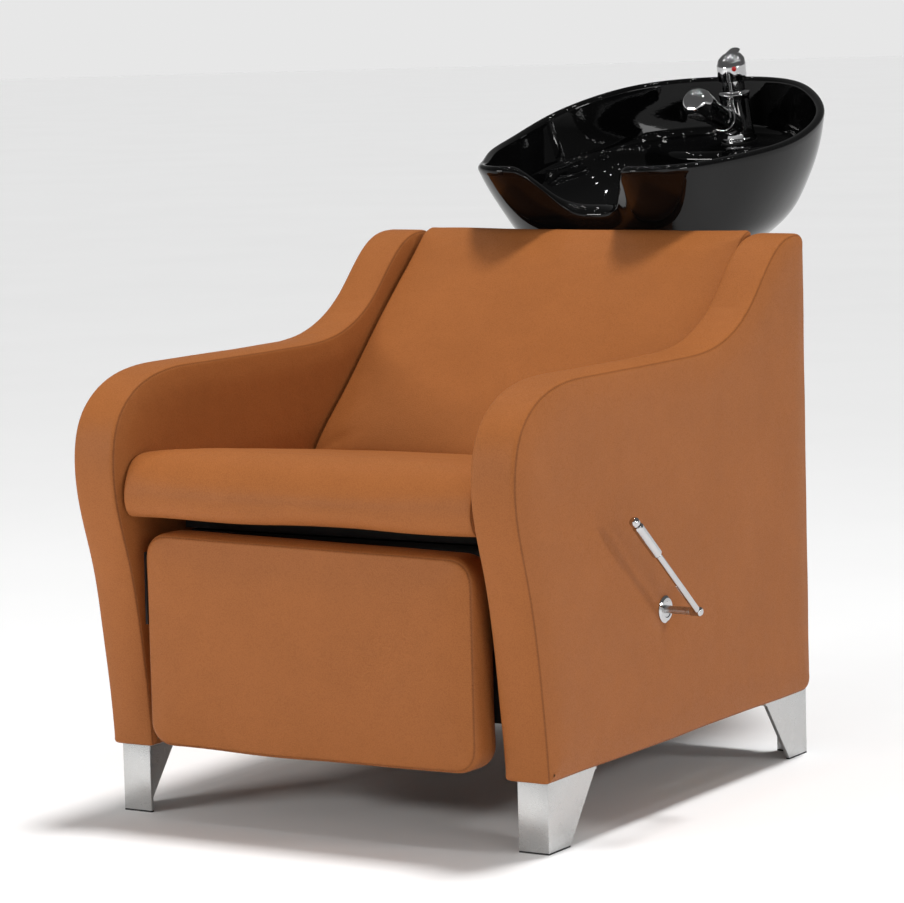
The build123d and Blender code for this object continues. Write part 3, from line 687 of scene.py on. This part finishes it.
# ---- legrest
def legrest():
    half_width, low, high, corner = 242.0, 98.0, 364.0, 30.0
    front, thick = -45.0, 60.0
    outline = rectangle(-half_width, low, half_width, high, corner)
    middle = front + thick / 2
    obj, points, seams, ring = pad(
        "legrest_cushion", outline, thick / 2 - 2, 12.0, 8.0, 4,
        lambda a, b, c: (a, middle - c, b), 10.0)
    held = set(seams[0]) | set(seams[1]) | set(np.nonzero(points[:, 2] < -thick / 2 + 4)[0])
    cap = np.full(len(points), 7.0)
    cap[np.abs(points[:, 2]) < thick / 2 - 14] = 2.0
    inflate(obj, held, cap)
    # The cover is a little slack, so the pad hangs unevenly: high at one top corner, low along the middle.
    co = coords_of(obj)
    rise = np.clip((points[:, 1] - (low + high) / 2) / ((high - low) / 2), -1, 1)
    lifted = rise.clip(0) * (1.5 - points[:, 0] / 60)
    sagged = (-rise).clip(0) * 2.5 * np.cos(points[:, 0] / 160)
    co[:, 2] += (lifted - sagged) * MM
    set_coords(obj, co)
    roughen(obj, points, 41, 0.5)
    finish_pad(obj, seams, ring, "legrest", "legrest_pad")


legrest()


# ---- upholstered cover on the rear
def rear_cover():
    half_width, low, high, corner = 258.0, 92.0, 684.0, 6
    outline = rectangle(-half_width, low, half_width, high, corner)
    obj, points, seams, ring = pad(
        "rear_cover_pad", outline, 5.0, 3.5, 9.0, 2, lambda a, b, c: (a, 690.0 + c, b), 14.0)
    roughen(obj, points, 51, 0.35)
    finish_pad(obj, seams, ring, "chair", "rear_cover", 0.4)


rear_cover()


# ---- hard pieces
def settle(obj, *nodes):
    """Gives a finished piece its node's material and body, and lets it stand for the nodes."""
    first = nodes[0]
    obj.data.materials.clear()
    obj.data.materials.append(MATERIALS[SLOT_OF[first]])
    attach(obj, NODES[first]["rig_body"])
    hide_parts(*nodes)


def mesh_object(name, points, faces):
    """An object from points in the part's millimetres."""
    mesh = bpy.data.meshes.new(name)
    mesh.from_pydata([tuple(p) for p in place(points)], [], faces)
    mesh.validate()
    obj = new_object(name, mesh)
    tidy_normals(obj)
    return obj


def loft(name, rings, closed_ends=True):
    """A skin over rings of equal numbers of points, with flat ends or joined from last to first."""
    count, n = len(rings[0]), len(rings)
    points = np.concatenate(rings)
    faces = []
    for r in range(n - 1 if closed_ends else n):
        low, high = r * count, ((r + 1) % n) * count
        for i in range(count):
            j = (i + 1) % count
            faces.append((low + i, low + j, high + j, high + i))
    if closed_ends:
        faces.append(tuple(range(count - 1, -1, -1)))
        faces.append(tuple(range((n - 1) * count, n * count)))
    obj = mesh_object(name, points, faces)
    smooth_shading(obj)
    return obj


def axes(direction, across=(1, 0, 0)):
    """Three unit columns: across, the third axis, and the given direction."""
    z = np.array(direction, float) / np.linalg.norm(direction)
    x = np.array(across, float) - z * np.dot(across, z)
    x /= np.linalg.norm(x)
    return np.stack([x, np.cross(z, x), z], 1)


def turned(name, corners, origin, frame_axes, segments=64, lean=None):
    """A piece turned on a lathe, from its profile's corners (radius, height, rounding) from axis to axis."""
    profile = rounded(corners)
    turn = np.linspace(0, 2 * math.pi, segments, endpoint=False)
    rings = []
    for radius, height in profile:
        shift = lean(height) if lean else 0.0
        ring = np.stack([radius * np.cos(turn), radius * np.sin(turn) + shift, np.full(segments, height)], 1)
        rings.append(np.asarray(origin) + ring @ frame_axes.T)
    core = [r for r, (radius, _) in zip(rings, profile) if radius > 0.01]
    return loft(name, core)


def keep_edges(obj, degrees=35.0):
    """Smooth shading that leaves the true corners sharp."""
    mesh = obj.data
    bm = bmesh.new()
    bm.from_mesh(mesh)
    for edge in bm.edges:
        if len(edge.link_faces) == 2 and edge.calc_face_angle(0.0) > math.radians(degrees):
            edge.smooth = False
    bm.to_mesh(mesh)
    bm.free()
    smooth_shading(obj)


def eased(node, width):
    """The CAD piece with its sharp edges broken by a small bevel, so that they catch the light."""
    obj = new_object(node + "_eased", NODES[node].data.copy())
    bm = bmesh.new()
    bm.from_mesh(obj.data)
    bmesh.ops.remove_doubles(bm, verts=bm.verts, dist=0.00002)
    bmesh.ops.dissolve_limit(bm, angle_limit=math.radians(0.5), verts=bm.verts, edges=bm.edges)
    sharp = [e for e in bm.edges if len(e.link_faces) == 2 and e.calc_face_angle(0.0) > math.radians(40)]
    bmesh.ops.bevel(bm, geom=sharp, offset=width * MM, offset_type="OFFSET", segments=3, profile=0.5,
                    affect="EDGES", clamp_overlap=True, harden_normals=False)
    bmesh.ops.triangulate(bm, faces=[f for f in bm.faces if len(f.verts) > 4])
    bm.to_mesh(obj.data)
    bm.free()
    keep_edges(obj, 28.0)
    settle(obj, node)


# ---- wash bowl, drawn in its own tilted frame: x across, v along it, w square to its rim.
# OUTER and BASIN give half of its outline (x, v) at some levels w; RIM_LINE is the rim's level w along v,
# and NECK_NOTCH its level across x where the neck lies.
BOWL_TILT = math.radians(11.6)
BOWL_ORIGIN = np.array([0.0, 868.0, 849.5])
BOWL_AXES = np.array([[1, 0, 0], [0, math.cos(BOWL_TILT), -math.sin(BOWL_TILT)],
                      [0, math.sin(BOWL_TILT), math.cos(BOWL_TILT)]])
DECK, BASIN_FLOOR, HUB = -80.0, -172.0, -190.0
CENTRE_V, DRAIN_V = 20.0, 30.0
WALL, NECK_WALL = 13.0, 34.0
AROUND = np.linspace(0, 2 * math.pi, 352, endpoint=False)
OUTER = {
    HUB: [(0, 150), (60, 130), (105, 75), (120, 35), (122, -5), (112, -50), (85, -92), (60, -106), (40, -112),
          (20, -115), (0, -116)],
    -160: [(0, 215), (74, 190), (132, 122), (162, 55), (167, -5), (158, -70), (132, -124), (88, -156),
           (60, -163), (30, -167), (0, -168)],
    -120: [(0, 244), (86, 218), (154, 145), (190, 72), (198, 5), (188, -72), (162, -137), (120, -181),
           (80, -190), (40, -188), (0, -186)],
    -80: [(0, 257), (92, 233), (168, 158), (208, 82), (218, 10), (205, -75), (174, -148), (132, -203),
          (90, -214), (50, -202), (0, -192)],
    -40: [(0, 264), (94, 240), (174, 168), (219, 92), (231, 15), (218, -80), (183, -160), (140, -224),
          (98, -238), (60, -222), (0, -195)],
    14: [(0, 272), (95, 247), (177, 177), (227, 101), (241, 15), (228, -86), (190, -180), (151, -242),
         (112, -264), (73, -253), (0, -195)],
}
BASIN = {
    BASIN_FLOOR: [(0, 53), (40, 58), (70, 53), (90, 32), (94, 5), (86, -27), (67, -62), (45, -82), (24, -90),
                  (12, -91), (0, -92)],
    -160: [(0, 66), (50, 72), (88, 66), (112, 40), (118, 6), (108, -34), (84, -78), (56, -102), (30, -112),
           (15, -114), (0, -115)],
    -125: [(0, 110), (50, 118), (95, 134), (132, 118), (164, 62), (178, 4), (168, -64), (140, -124),
           (96, -166), (48, -168), (0, -160)],
    DECK: [(0, 128), (60, 140), (112, 166), (150, 150), (188, 80), (204, 8), (191, -70), (162, -136),
           (124, -188), (80, -180), (0, -158)],
}
RIM_LINE = [(-300, 4), (-262, -2), (-178, -14), (-96, -19.5), (-16, -22), (67, -16), (144, -4.6), (204, 2.4),
            (252, 2), (300, -3)]
NECK_NOTCH = [(0, -77), (40, -71), (62, -48), (76, -22), (88, 2), (100, 30)]


def on_bowl(points):
    """Points of the bowl's own frame, in the part's millimetres."""
    return BOWL_ORIGIN + np.asarray(points, float).reshape(-1, 3) @ BOWL_AXES.T


def reaches(half):
    """How far a symmetrical outline lies from the bowl's centre, at each angle around."""
    loop = closed_cubic(list(half) + [(-x, v) for x, v in reversed(half[1:-1])], 1600)
    angle = np.arctan2(loop[:, 1] - CENTRE_V, loop[:, 0]) % (2 * math.pi)
    order = np.argsort(angle)
    reach = np.hypot(loop[:, 0], loop[:, 1] - CENTRE_V)
    return np.interp(AROUND, angle[order], reach[order], period=2 * math.pi)


def between(sections, at):
    """Smooth reach at any level between the sections; at is one level for each angle."""
    t = np.array(sorted(sections))
    rows = np.array([sections[k] for k in t])
    h, a, r = spline_system(t, rows)
    m = np.linalg.solve(a, r)
    at = np.broadcast_to(np.asarray(at, float), AROUND.shape)
    k = np.clip(np.searchsorted(t, at, side="right") - 1, 0, len(t) - 2)
    column = np.arange(len(AROUND))
    x, w, g = t[k + 1] - at, at - t[k], h[k]
    return spline_value(x, w, g, rows[k, column], rows[k + 1, column], m[k, column], m[k + 1, column])


def soften(values, reach=3):
    """A running average around the bowl."""
    weights = np.exp(-np.linspace(-2, 2, 2 * reach + 1) ** 2)
    padded = np.concatenate([values[-reach:], values, values[:reach]])
    return np.convolve(padded, weights / weights.sum(), mode="valid")


def bowl():
    outer_rows = {level: reaches(half) for level, half in OUTER.items()}
    basin_rows = {level: reaches(half) for level, half in BASIN.items()}
    unit = np.stack([np.cos(AROUND), np.sin(AROUND)], 1)
    middle = np.array([0.0, CENTRE_V])

    def outer_at(w):
        return middle + unit * between(outer_rows, w)[:, None]

    def ring(flat, w):
        return on_bowl(np.column_stack([flat, np.broadcast_to(w, AROUND.shape)]))

    rim_curve = cubic(RIM_LINE)
    notch_curve = cubic(NECK_NOTCH, start=(1, 0))
    rim = np.full(AROUND.shape, -20.0)
    for _ in range(5):
        edge = outer_at(rim)
        into = inward(edge)
        front = np.clip((-130 - edge[:, 1]) / 40, 0, 1)
        wall = WALL + (NECK_WALL - WALL) * np.exp(-(edge[:, 0] / 60) ** 2) * front
        crest = edge + into * wall[:, None] / 2
        rim = np.interp(crest[:, 1], rim_curve[:, 0], rim_curve[:, 1])
        notch = np.interp(np.abs(crest[:, 0]), notch_curve[:, 0], notch_curve[:, 1])
        rim = soften(np.where(crest[:, 1] < -120, np.minimum(rim, notch), rim))
    lip = np.minimum(wall / 2, 13.0)
    shoulder = rim - lip
    deck = np.minimum(DECK, shoulder - 5)
    inner_reach = np.hypot(*(outer_at(deck) + into * wall[:, None] - middle).T)
    basin_top = np.minimum(between(basin_rows, deck), inner_reach - 0.6)
    spare = between(basin_rows, deck) - basin_top
    width = inner_reach - basin_top
    fillet = np.minimum(14.0, 0.4 * width)
    edge_round = np.minimum(10.0, 0.4 * width)

    def basin_at(w):
        fade = np.clip(1 - (deck - w) / 45, 0, 1)
        return middle + unit * (between(basin_rows, w) - spare * fade)[:, None]

    def drain(radius):
        return np.array([0.0, DRAIN_V]) + unit * radius

    # From the drain, out under the hub, up the outside, over the rim, and back down inside to the drain.
    bore, chamfer, hub_round = 22, 1.5, 7
    rings = [ring(drain(bore), BASIN_FLOOR - 6), ring(drain(bore), HUB + chamfer),
             ring(drain(bore + chamfer), HUB)]
    hub = outer_at(HUB + hub_round)
    hub_in = inward(hub)
    rings.append(ring((drain(bore + chamfer) + hub) / 2, HUB))
    for degrees in (90, 60, 30):
        a = math.radians(degrees)
        rings.append(ring(hub + hub_in * hub_round * (1 - math.cos(a)), HUB + hub_round * (1 - math.sin(a))))
    for share in np.linspace(0, 1, 24):
        w = HUB + hub_round + share * (shoulder - HUB - hub_round)
        rings.append(ring(outer_at(w), w))
    base = outer_at(shoulder)
    for degrees in np.linspace(15, 165, 11):
        a = math.radians(degrees)
        flat = base + into * (wall * (1 - math.cos(a)) / 2)[:, None]
        rings.append(ring(flat, shoulder + lip * math.sin(a)))
    for share in np.linspace(0, 1, 12):
        w = shoulder + share * (deck + fillet - shoulder)
        rings.append(ring(outer_at(w) + into * wall[:, None], w))
    corner = outer_at(deck + fillet) + into * wall[:, None]
    for degrees in (22, 45, 67, 90):
        a = math.radians(degrees)
        flat = corner + into * (fillet * (1 - math.cos(a)))[:, None]
        rings.append(ring(flat, deck + fillet * (1 - math.sin(a))))
    flat_outer = corner + into * fillet[:, None]
    flat_inner = basin_at(deck) - inward(basin_at(deck)) * edge_round[:, None]
    for share in np.linspace(0, 1, 8)[1:]:
        rings.append(ring(flat_outer + (flat_inner - flat_outer) * share, deck))
    for degrees in (22, 45, 67):
        a = math.radians(degrees)
        w = deck - edge_round * (1 - math.cos(a))
        level = basin_at(w)
        rings.append(ring(level - inward(level) * (edge_round * (1 - math.sin(a)))[:, None], w))
    for share in np.linspace(0, 1, 16):
        w = deck - edge_round + share * (BASIN_FLOOR - deck + edge_round)
        rings.append(ring(basin_at(w), w))
    bottom = basin_at(BASIN_FLOOR)
    rings.append(ring(bottom + (drain(36) - bottom) * 0.5, BASIN_FLOOR))
    for radius, w in ((36, 0), (34.5, -0.6), (34, -2), (34, -3.5), (33, -4), (23, -4), (22, -4.8)):
        rings.append(ring(drain(radius), BASIN_FLOOR + w))
    obj = loft("glazed_bowl", rings, closed_ends=False)
    # The pocket under the tap deck, open below, holds the tap's nut and the supply tails.
    pocket, roof = rectangle(-62, 160, 62, 216, 10), DECK - 14
    cutter = loft("pocket_cutter", [on_bowl([(x, v, w) for x, v in pocket]) for w in (HUB - 40, roof)])
    cut = obj.modifiers.new("Pocket", "BOOLEAN")
    cut.operation = "DIFFERENCE"
    cut.object = cutter
    apply_modifier(obj, cut)
    bpy.data.objects.remove(cutter)
    keep_edges(obj, 40.0)
    settle(obj, "wash_bowl")


bowl()


# ---- tap and hand spray
TAP = np.array([30.0, 200.0, DECK])
SPRAY_ANGLE = math.radians(29.0)


def tap():
    up = BOWL_AXES @ axes((0, 0, 1))
    foot = on_bowl(TAP)[0]
    column = turned("tap_column", [
        (0, 2, 0), (26, 2, 0.8), (26, 6, 1.2), (24.2, 7.6, 1.0), (22.6, 14, 8), (21.4, 64, 4),
        (22.6, 69, 1.0), (22.6, 72.5, 1.2), (18, 73, 0.8), (16.4, 75, 1.5), (16.4, 94, 0.8), (0, 94, 0)],
        foot, up)
    along = BOWL_AXES @ axes((0, -math.cos(SPRAY_ANGLE), math.sin(SPRAY_ANGLE)))
    socket_foot = on_bowl(TAP + (0, 0, 19.5))[0]
    socket = turned("spray_socket", [
        (0, 4, 0), (17.6, 4, 1), (17.8, 40, 2), (18.6, 43, 0.8), (18.6, 47, 1.2), (0, 47.4, 0)],
        socket_foot, along)
    # The cap is hollow, so it lifts clear of the column's neck, and its top leans back.
    lean = cubic([(91, 0), (110, 0), (119, 2), (127, 5), (131, 8)], step=1.0)
    handle = turned("tap_lever_cap", [
        (0, 103, 0), (18.7, 103, 3), (18.7, 91, 0.4), (20.6, 91, 0.8), (21, 98, 4), (21.2, 113, 9),
        (19.2, 121, 8), (13, 127.4, 7), (0, 131, 0)],
        foot, up, lean=lambda h: float(np.interp(h, lean[:, 0], lean[:, 1])))
    # A short flat tab on the cap's rear is what the hand lifts.
    rise = math.radians(16)
    tab_axes = BOWL_AXES @ (axes((0, math.cos(rise), math.sin(rise))) * (1.0, 0.36, 1.0))
    tab = turned("tap_lever_tab", [(0, -6, 0), (9, -6, 2), (9.5, 8, 6), (8, 18, 5), (0, 20, 0)],
                 foot + up @ np.array([0, 2.0, 127.0]), tab_axes, 48)
    spray = turned("spray_handle", [
        (0, 48.2, 0), (16.2, 48.2, 0.8), (17.4, 50, 0.8), (17.4, 57, 0.8), (16, 59, 0.8), (16.4, 66, 6),
        (18.6, 100, 16), (21.4, 112, 10), (23, 128, 16), (17, 144, 10), (0, 151, 0)], socket_foot, along)
    # The spray's face is cut flat on its underside.
    face_out = 19.0
    flat = socket_foot + along @ np.array([0, 0, 128.0])
    down = -along[:, 1] * np.sign(along[2, 1])
    co = coords_of(spray)
    depth = (co - place(flat + down * face_out)[0]) @ down
    near = np.linalg.norm(co - place(flat)[0], axis=1) < 26 * MM
    over = (depth > 0) & near
    co[over] -= depth[over][:, None] * down
    set_coords(spray, co)
    face = turned("spray_face", [
        (0, 17.5, 0), (12.5, 17.5, 0.5), (12.5, 20.2, 0.8), (10.6, 20.6, 0.4), (10, 19.9, 0.4), (0, 19.9, 0)],
        flat, axes(down, along[:, 2]))
    mark_turn, cap_radius, mark_height = math.radians(38), 21.0, 110
    mark_way = np.array([math.sin(mark_turn), -math.cos(mark_turn), 0])
    dot = turned("temperature_mark", [(0, -1, 0), (3.5, -1, 0.3), (3.4, 0.5, 0.4), (0, 0.9, 0)],
                 foot + up @ (cap_radius * mark_way + (0, 0, mark_height)),
                 BOWL_AXES @ axes(mark_way, (0, 0, 1)), 32)
    for piece, node in ((column, "tap_body"), (handle, "tap_handle"), (tab, "tap_handle"),
                        (spray, "hand_spray"), (face, "spray_nozzle"), (dot, "tap_indicator")):
        keep_edges(piece, 50.0)
        settle(piece, node)
    keep_edges(socket, 50.0)
    settle(socket, "tap_body")
    # Fine nozzles stand on the spray's face.
    points, faces = [], []
    sides = 10
    turn = np.linspace(0, 2 * math.pi, sides, endpoint=False)
    face_axes = axes(down, along[:, 2])
    for count, radius in ((1, 0), (6, 4.2), (12, 8.2)):
        for k in range(count):
            a = 2 * math.pi * k / count
            centre = np.array([radius * math.cos(a), radius * math.sin(a), 0])
            start = len(points)
            for r, h in ((1.0, 19.6), (0.85, 20.8), (0.45, 21.0), (0.4, 20.3)):
                for t in turn:
                    points.append(flat + face_axes @ (centre + (r * math.cos(t), r * math.sin(t), h)))
            for level in range(3):
                low = start + level * sides
                for i in range(sides):
                    j = (i + 1) % sides
                    faces.append((low + i, low + j, low + sides + j, low + sides + i))
    nibs = mesh_object("spray_jets", points, faces)
    smooth_shading(nibs)
    settle(nibs, "spray_nozzle")


tap()


# ---- hand lever
def hand_lever():
    # The arm swings in the plane X = plane; its grip, between the bar and the knob, is grip_length long.
    plane, angle, length, grip_length = 372.0, math.radians(40), 206.0, 66.0
    y, z = DRIVE
    shaft = axes((1, 0, 0), (0, 1, 0))
    arm = axes((0, -math.cos(angle), math.sin(angle)))
    pivot = np.array([plane, y, z])
    rose = turned("lever_rose", [
        (0, 325.2, 0), (17.5, 325.2, 0.4), (17.5, 326.6, 0.8), (14.5, 328.6, 1.2), (10.5, 329, 0.6),
        (9.6, 328.0, 0.3), (0, 328.0, 0)], (0, y, z), shaft)
    hub = turned("lever_boss", [
        (0, plane - 10, 0), (5.6, plane - 10, 0.6), (6, plane - 8.6, 0.8), (6, plane + 3.5, 2.4),
        (4, plane + 6, 1.5), (0, plane + 6, 0)], (0, y, z), shaft)
    inner_end = (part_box("drive_shaft")[0].x - MID_X) / MM
    axle = turned("lever_axle", [
        (0, inner_end, 0), (8, inner_end, 0.8), (8, 327, 0.6), (5, 327.6, 0.4), (4.8, plane - 10.2, 0.4),
        (0, plane - 10.2, 0)], (0, y, z), shaft, 48)
    start = length - grip_length - 6.5
    end = start + grip_length
    rod = turned("lever_bar", [
        (0, 4.5, 0), (4.5, 4.5, 0.4), (4.5, start - 1, 0.2), (0, start - 1, 0)], pivot, arm, 40)
    grip = turned("lever_handle", [
        (0, start, 0), (5.2, start, 0.6), (7, start + 3, 2.2), (7.1, start + 33, 30), (7, end - 3.5, 2),
        (5.4, end, 0.8), (0, end, 0)], pivot, arm, 48)
    knob = turned("lever_end", [
        (0, length - 7.2, 0), (4, length - 7.2, 0.4), (4, length - 5, 0.8), (6.5, length - 2.5, 2.2),
        (6.5, length + 2.5, 2.6), (3.4, length + 6.2, 2.4), (0, length + 6.5, 0)], pivot, arm, 40)
    for piece, node in ((rose, "lever_escutcheon"), (hub, "lever_hub"), (axle, "drive_shaft"),
                        (rod, "lever_rod"), (grip, "lever_grip"), (knob, "lever_knob")):
        keep_edges(piece, 50.0)
        settle(piece, node)


hand_lever()
for bracket_piece in ("bowl_bracket", "bowl_cradle"):
    eased(bracket_piece, 0.8)
for end in ("front", "rear"):
    for side in ("right", "left"):
        eased(f"{side}_{end}_foot", 0.9)


# ---- camera, lights and floor
def camera():
    data = bpy.data.cameras.new("camera")
    data.sensor_fit = "HORIZONTAL"
    data.sensor_width = 36.0
    data.lens = 152.04
    data.clip_start, data.clip_end = 0.1, 200.0
    obj = new_object("camera", data)
    azimuth, elevation, roll = math.radians(31.75), math.radians(6.637), math.radians(-1.484)
    back = Vector((math.sin(azimuth) * math.cos(elevation), -math.cos(azimuth) * math.cos(elevation),
                   math.sin(elevation)))
    right = Vector((math.cos(azimuth), math.sin(azimuth), 0))
    up = back.cross(right)
    x = math.cos(roll) * right + math.sin(roll) * up
    y = -math.sin(roll) * right + math.cos(roll) * up
    turn = Matrix((x, y, back)).transposed().to_4x4()
    spot = Vector(place([(2594, -3880, 1015)])[0])
    obj.matrix_world = Matrix.Translation(spot) @ turn
    bpy.context.scene.camera = obj


def area_light(name, position, target, size, watts, color=(1, 1, 1), shape="RECTANGLE"):
    data = bpy.data.lights.new(name, "AREA")
    data.shape = shape
    data.size = size
    data.energy = watts
    data.color = color
    obj = new_object(name, data)
    spot = Vector(position)
    obj.location = spot
    obj.rotation_mode = "QUATERNION"
    obj.rotation_quaternion = (Vector(target) - spot).to_track_quat("-Z", "Y")


def room():
    """A room that is pale at the height of the horizon and dimmer above."""
    horizon, ceiling = (0.02, 0.80), (0.22, 0.13)
    scene = bpy.context.scene
    scene.view_settings.view_transform = "Standard"
    scene.view_settings.look = "None"
    world = bpy.data.worlds.new("studio")
    scene.world = world
    world.use_nodes = True
    tree = world.node_tree
    coords = tree.nodes.new("ShaderNodeTexCoord")
    split = tree.nodes.new("ShaderNodeSeparateXYZ")
    shade = tree.nodes.new("ShaderNodeValToRGB")
    tree.links.new(coords.outputs["Generated"], split.inputs[0])
    tree.links.new(split.outputs["Z"], shade.inputs["Fac"])
    tree.links.new(shade.outputs["Color"], tree.nodes["Background"].inputs["Color"])
    for element, (height, grey) in zip(shade.color_ramp.elements, (horizon, ceiling)):
        element.position = height
        element.color = (grey, grey, grey, 1)
    tree.nodes["Background"].inputs["Strength"].default_value = 1.0


def lights():
    sun = bpy.data.lights.new("overhead", "SUN")
    sun.energy = 2.5
    sun.angle = math.radians(10)
    overhead = new_object("overhead", sun)
    overhead.rotation_euler = (math.radians(-9), math.radians(4), 0)
    # It casts the bowl's shadows on the backrest, and the glaze doesn't mirror it.
    overhead.visible_glossy = False
    area_light("left_softbox", (-2.2, -3.6, 1.5), (0.0, 0.0, 0.45), 1.8, 64, (1.0, 0.99, 0.97))
    area_light("right_softbox", (2.7, -0.15, 1.2), (0.3, -0.2, 0.4), 0.45, 13)
    area_light("front_right_softbox", (2.3, -1.7, 1.0), (0.3, -0.5, 0.4), 1.2, 6)
    # Small ceiling lamps, which make the points of light in the glaze and the chrome.
    across, deep, spacing, height = 5, 4, 0.7, 2.9
    for i in range(across * deep):
        x = spacing * (i % across - (across - 1) / 2)
        y = spacing * (i // across - (deep - 1) / 2)
        area_light(f"ceiling_lamp_{i}", (x, y, height), (x, y, 0), 0.05, 1.0, (1, 1, 1), "DISK")


def floor():
    mesh = bpy.data.meshes.new("floor")
    bm = bmesh.new()
    bmesh.ops.create_circle(bm, cap_ends=True, segments=96, radius=60.0)
    bm.to_mesh(mesh)
    bm.free()
    obj = new_object("floor", mesh)
    mat, shader, coords, add, link = new_material("pale_floor", (0.92, 0.92, 0.92), 0.6,
                                                  Specular_IOR_Level=0.2)
    link(ramp(add, noise(add, coords, 1.3, 5.0), [(0.3, 0.91), (0.7, 0.93)]), shader.inputs["Base Color"])
    mesh.materials.append(mat)


camera()
room()
lights()
floor()
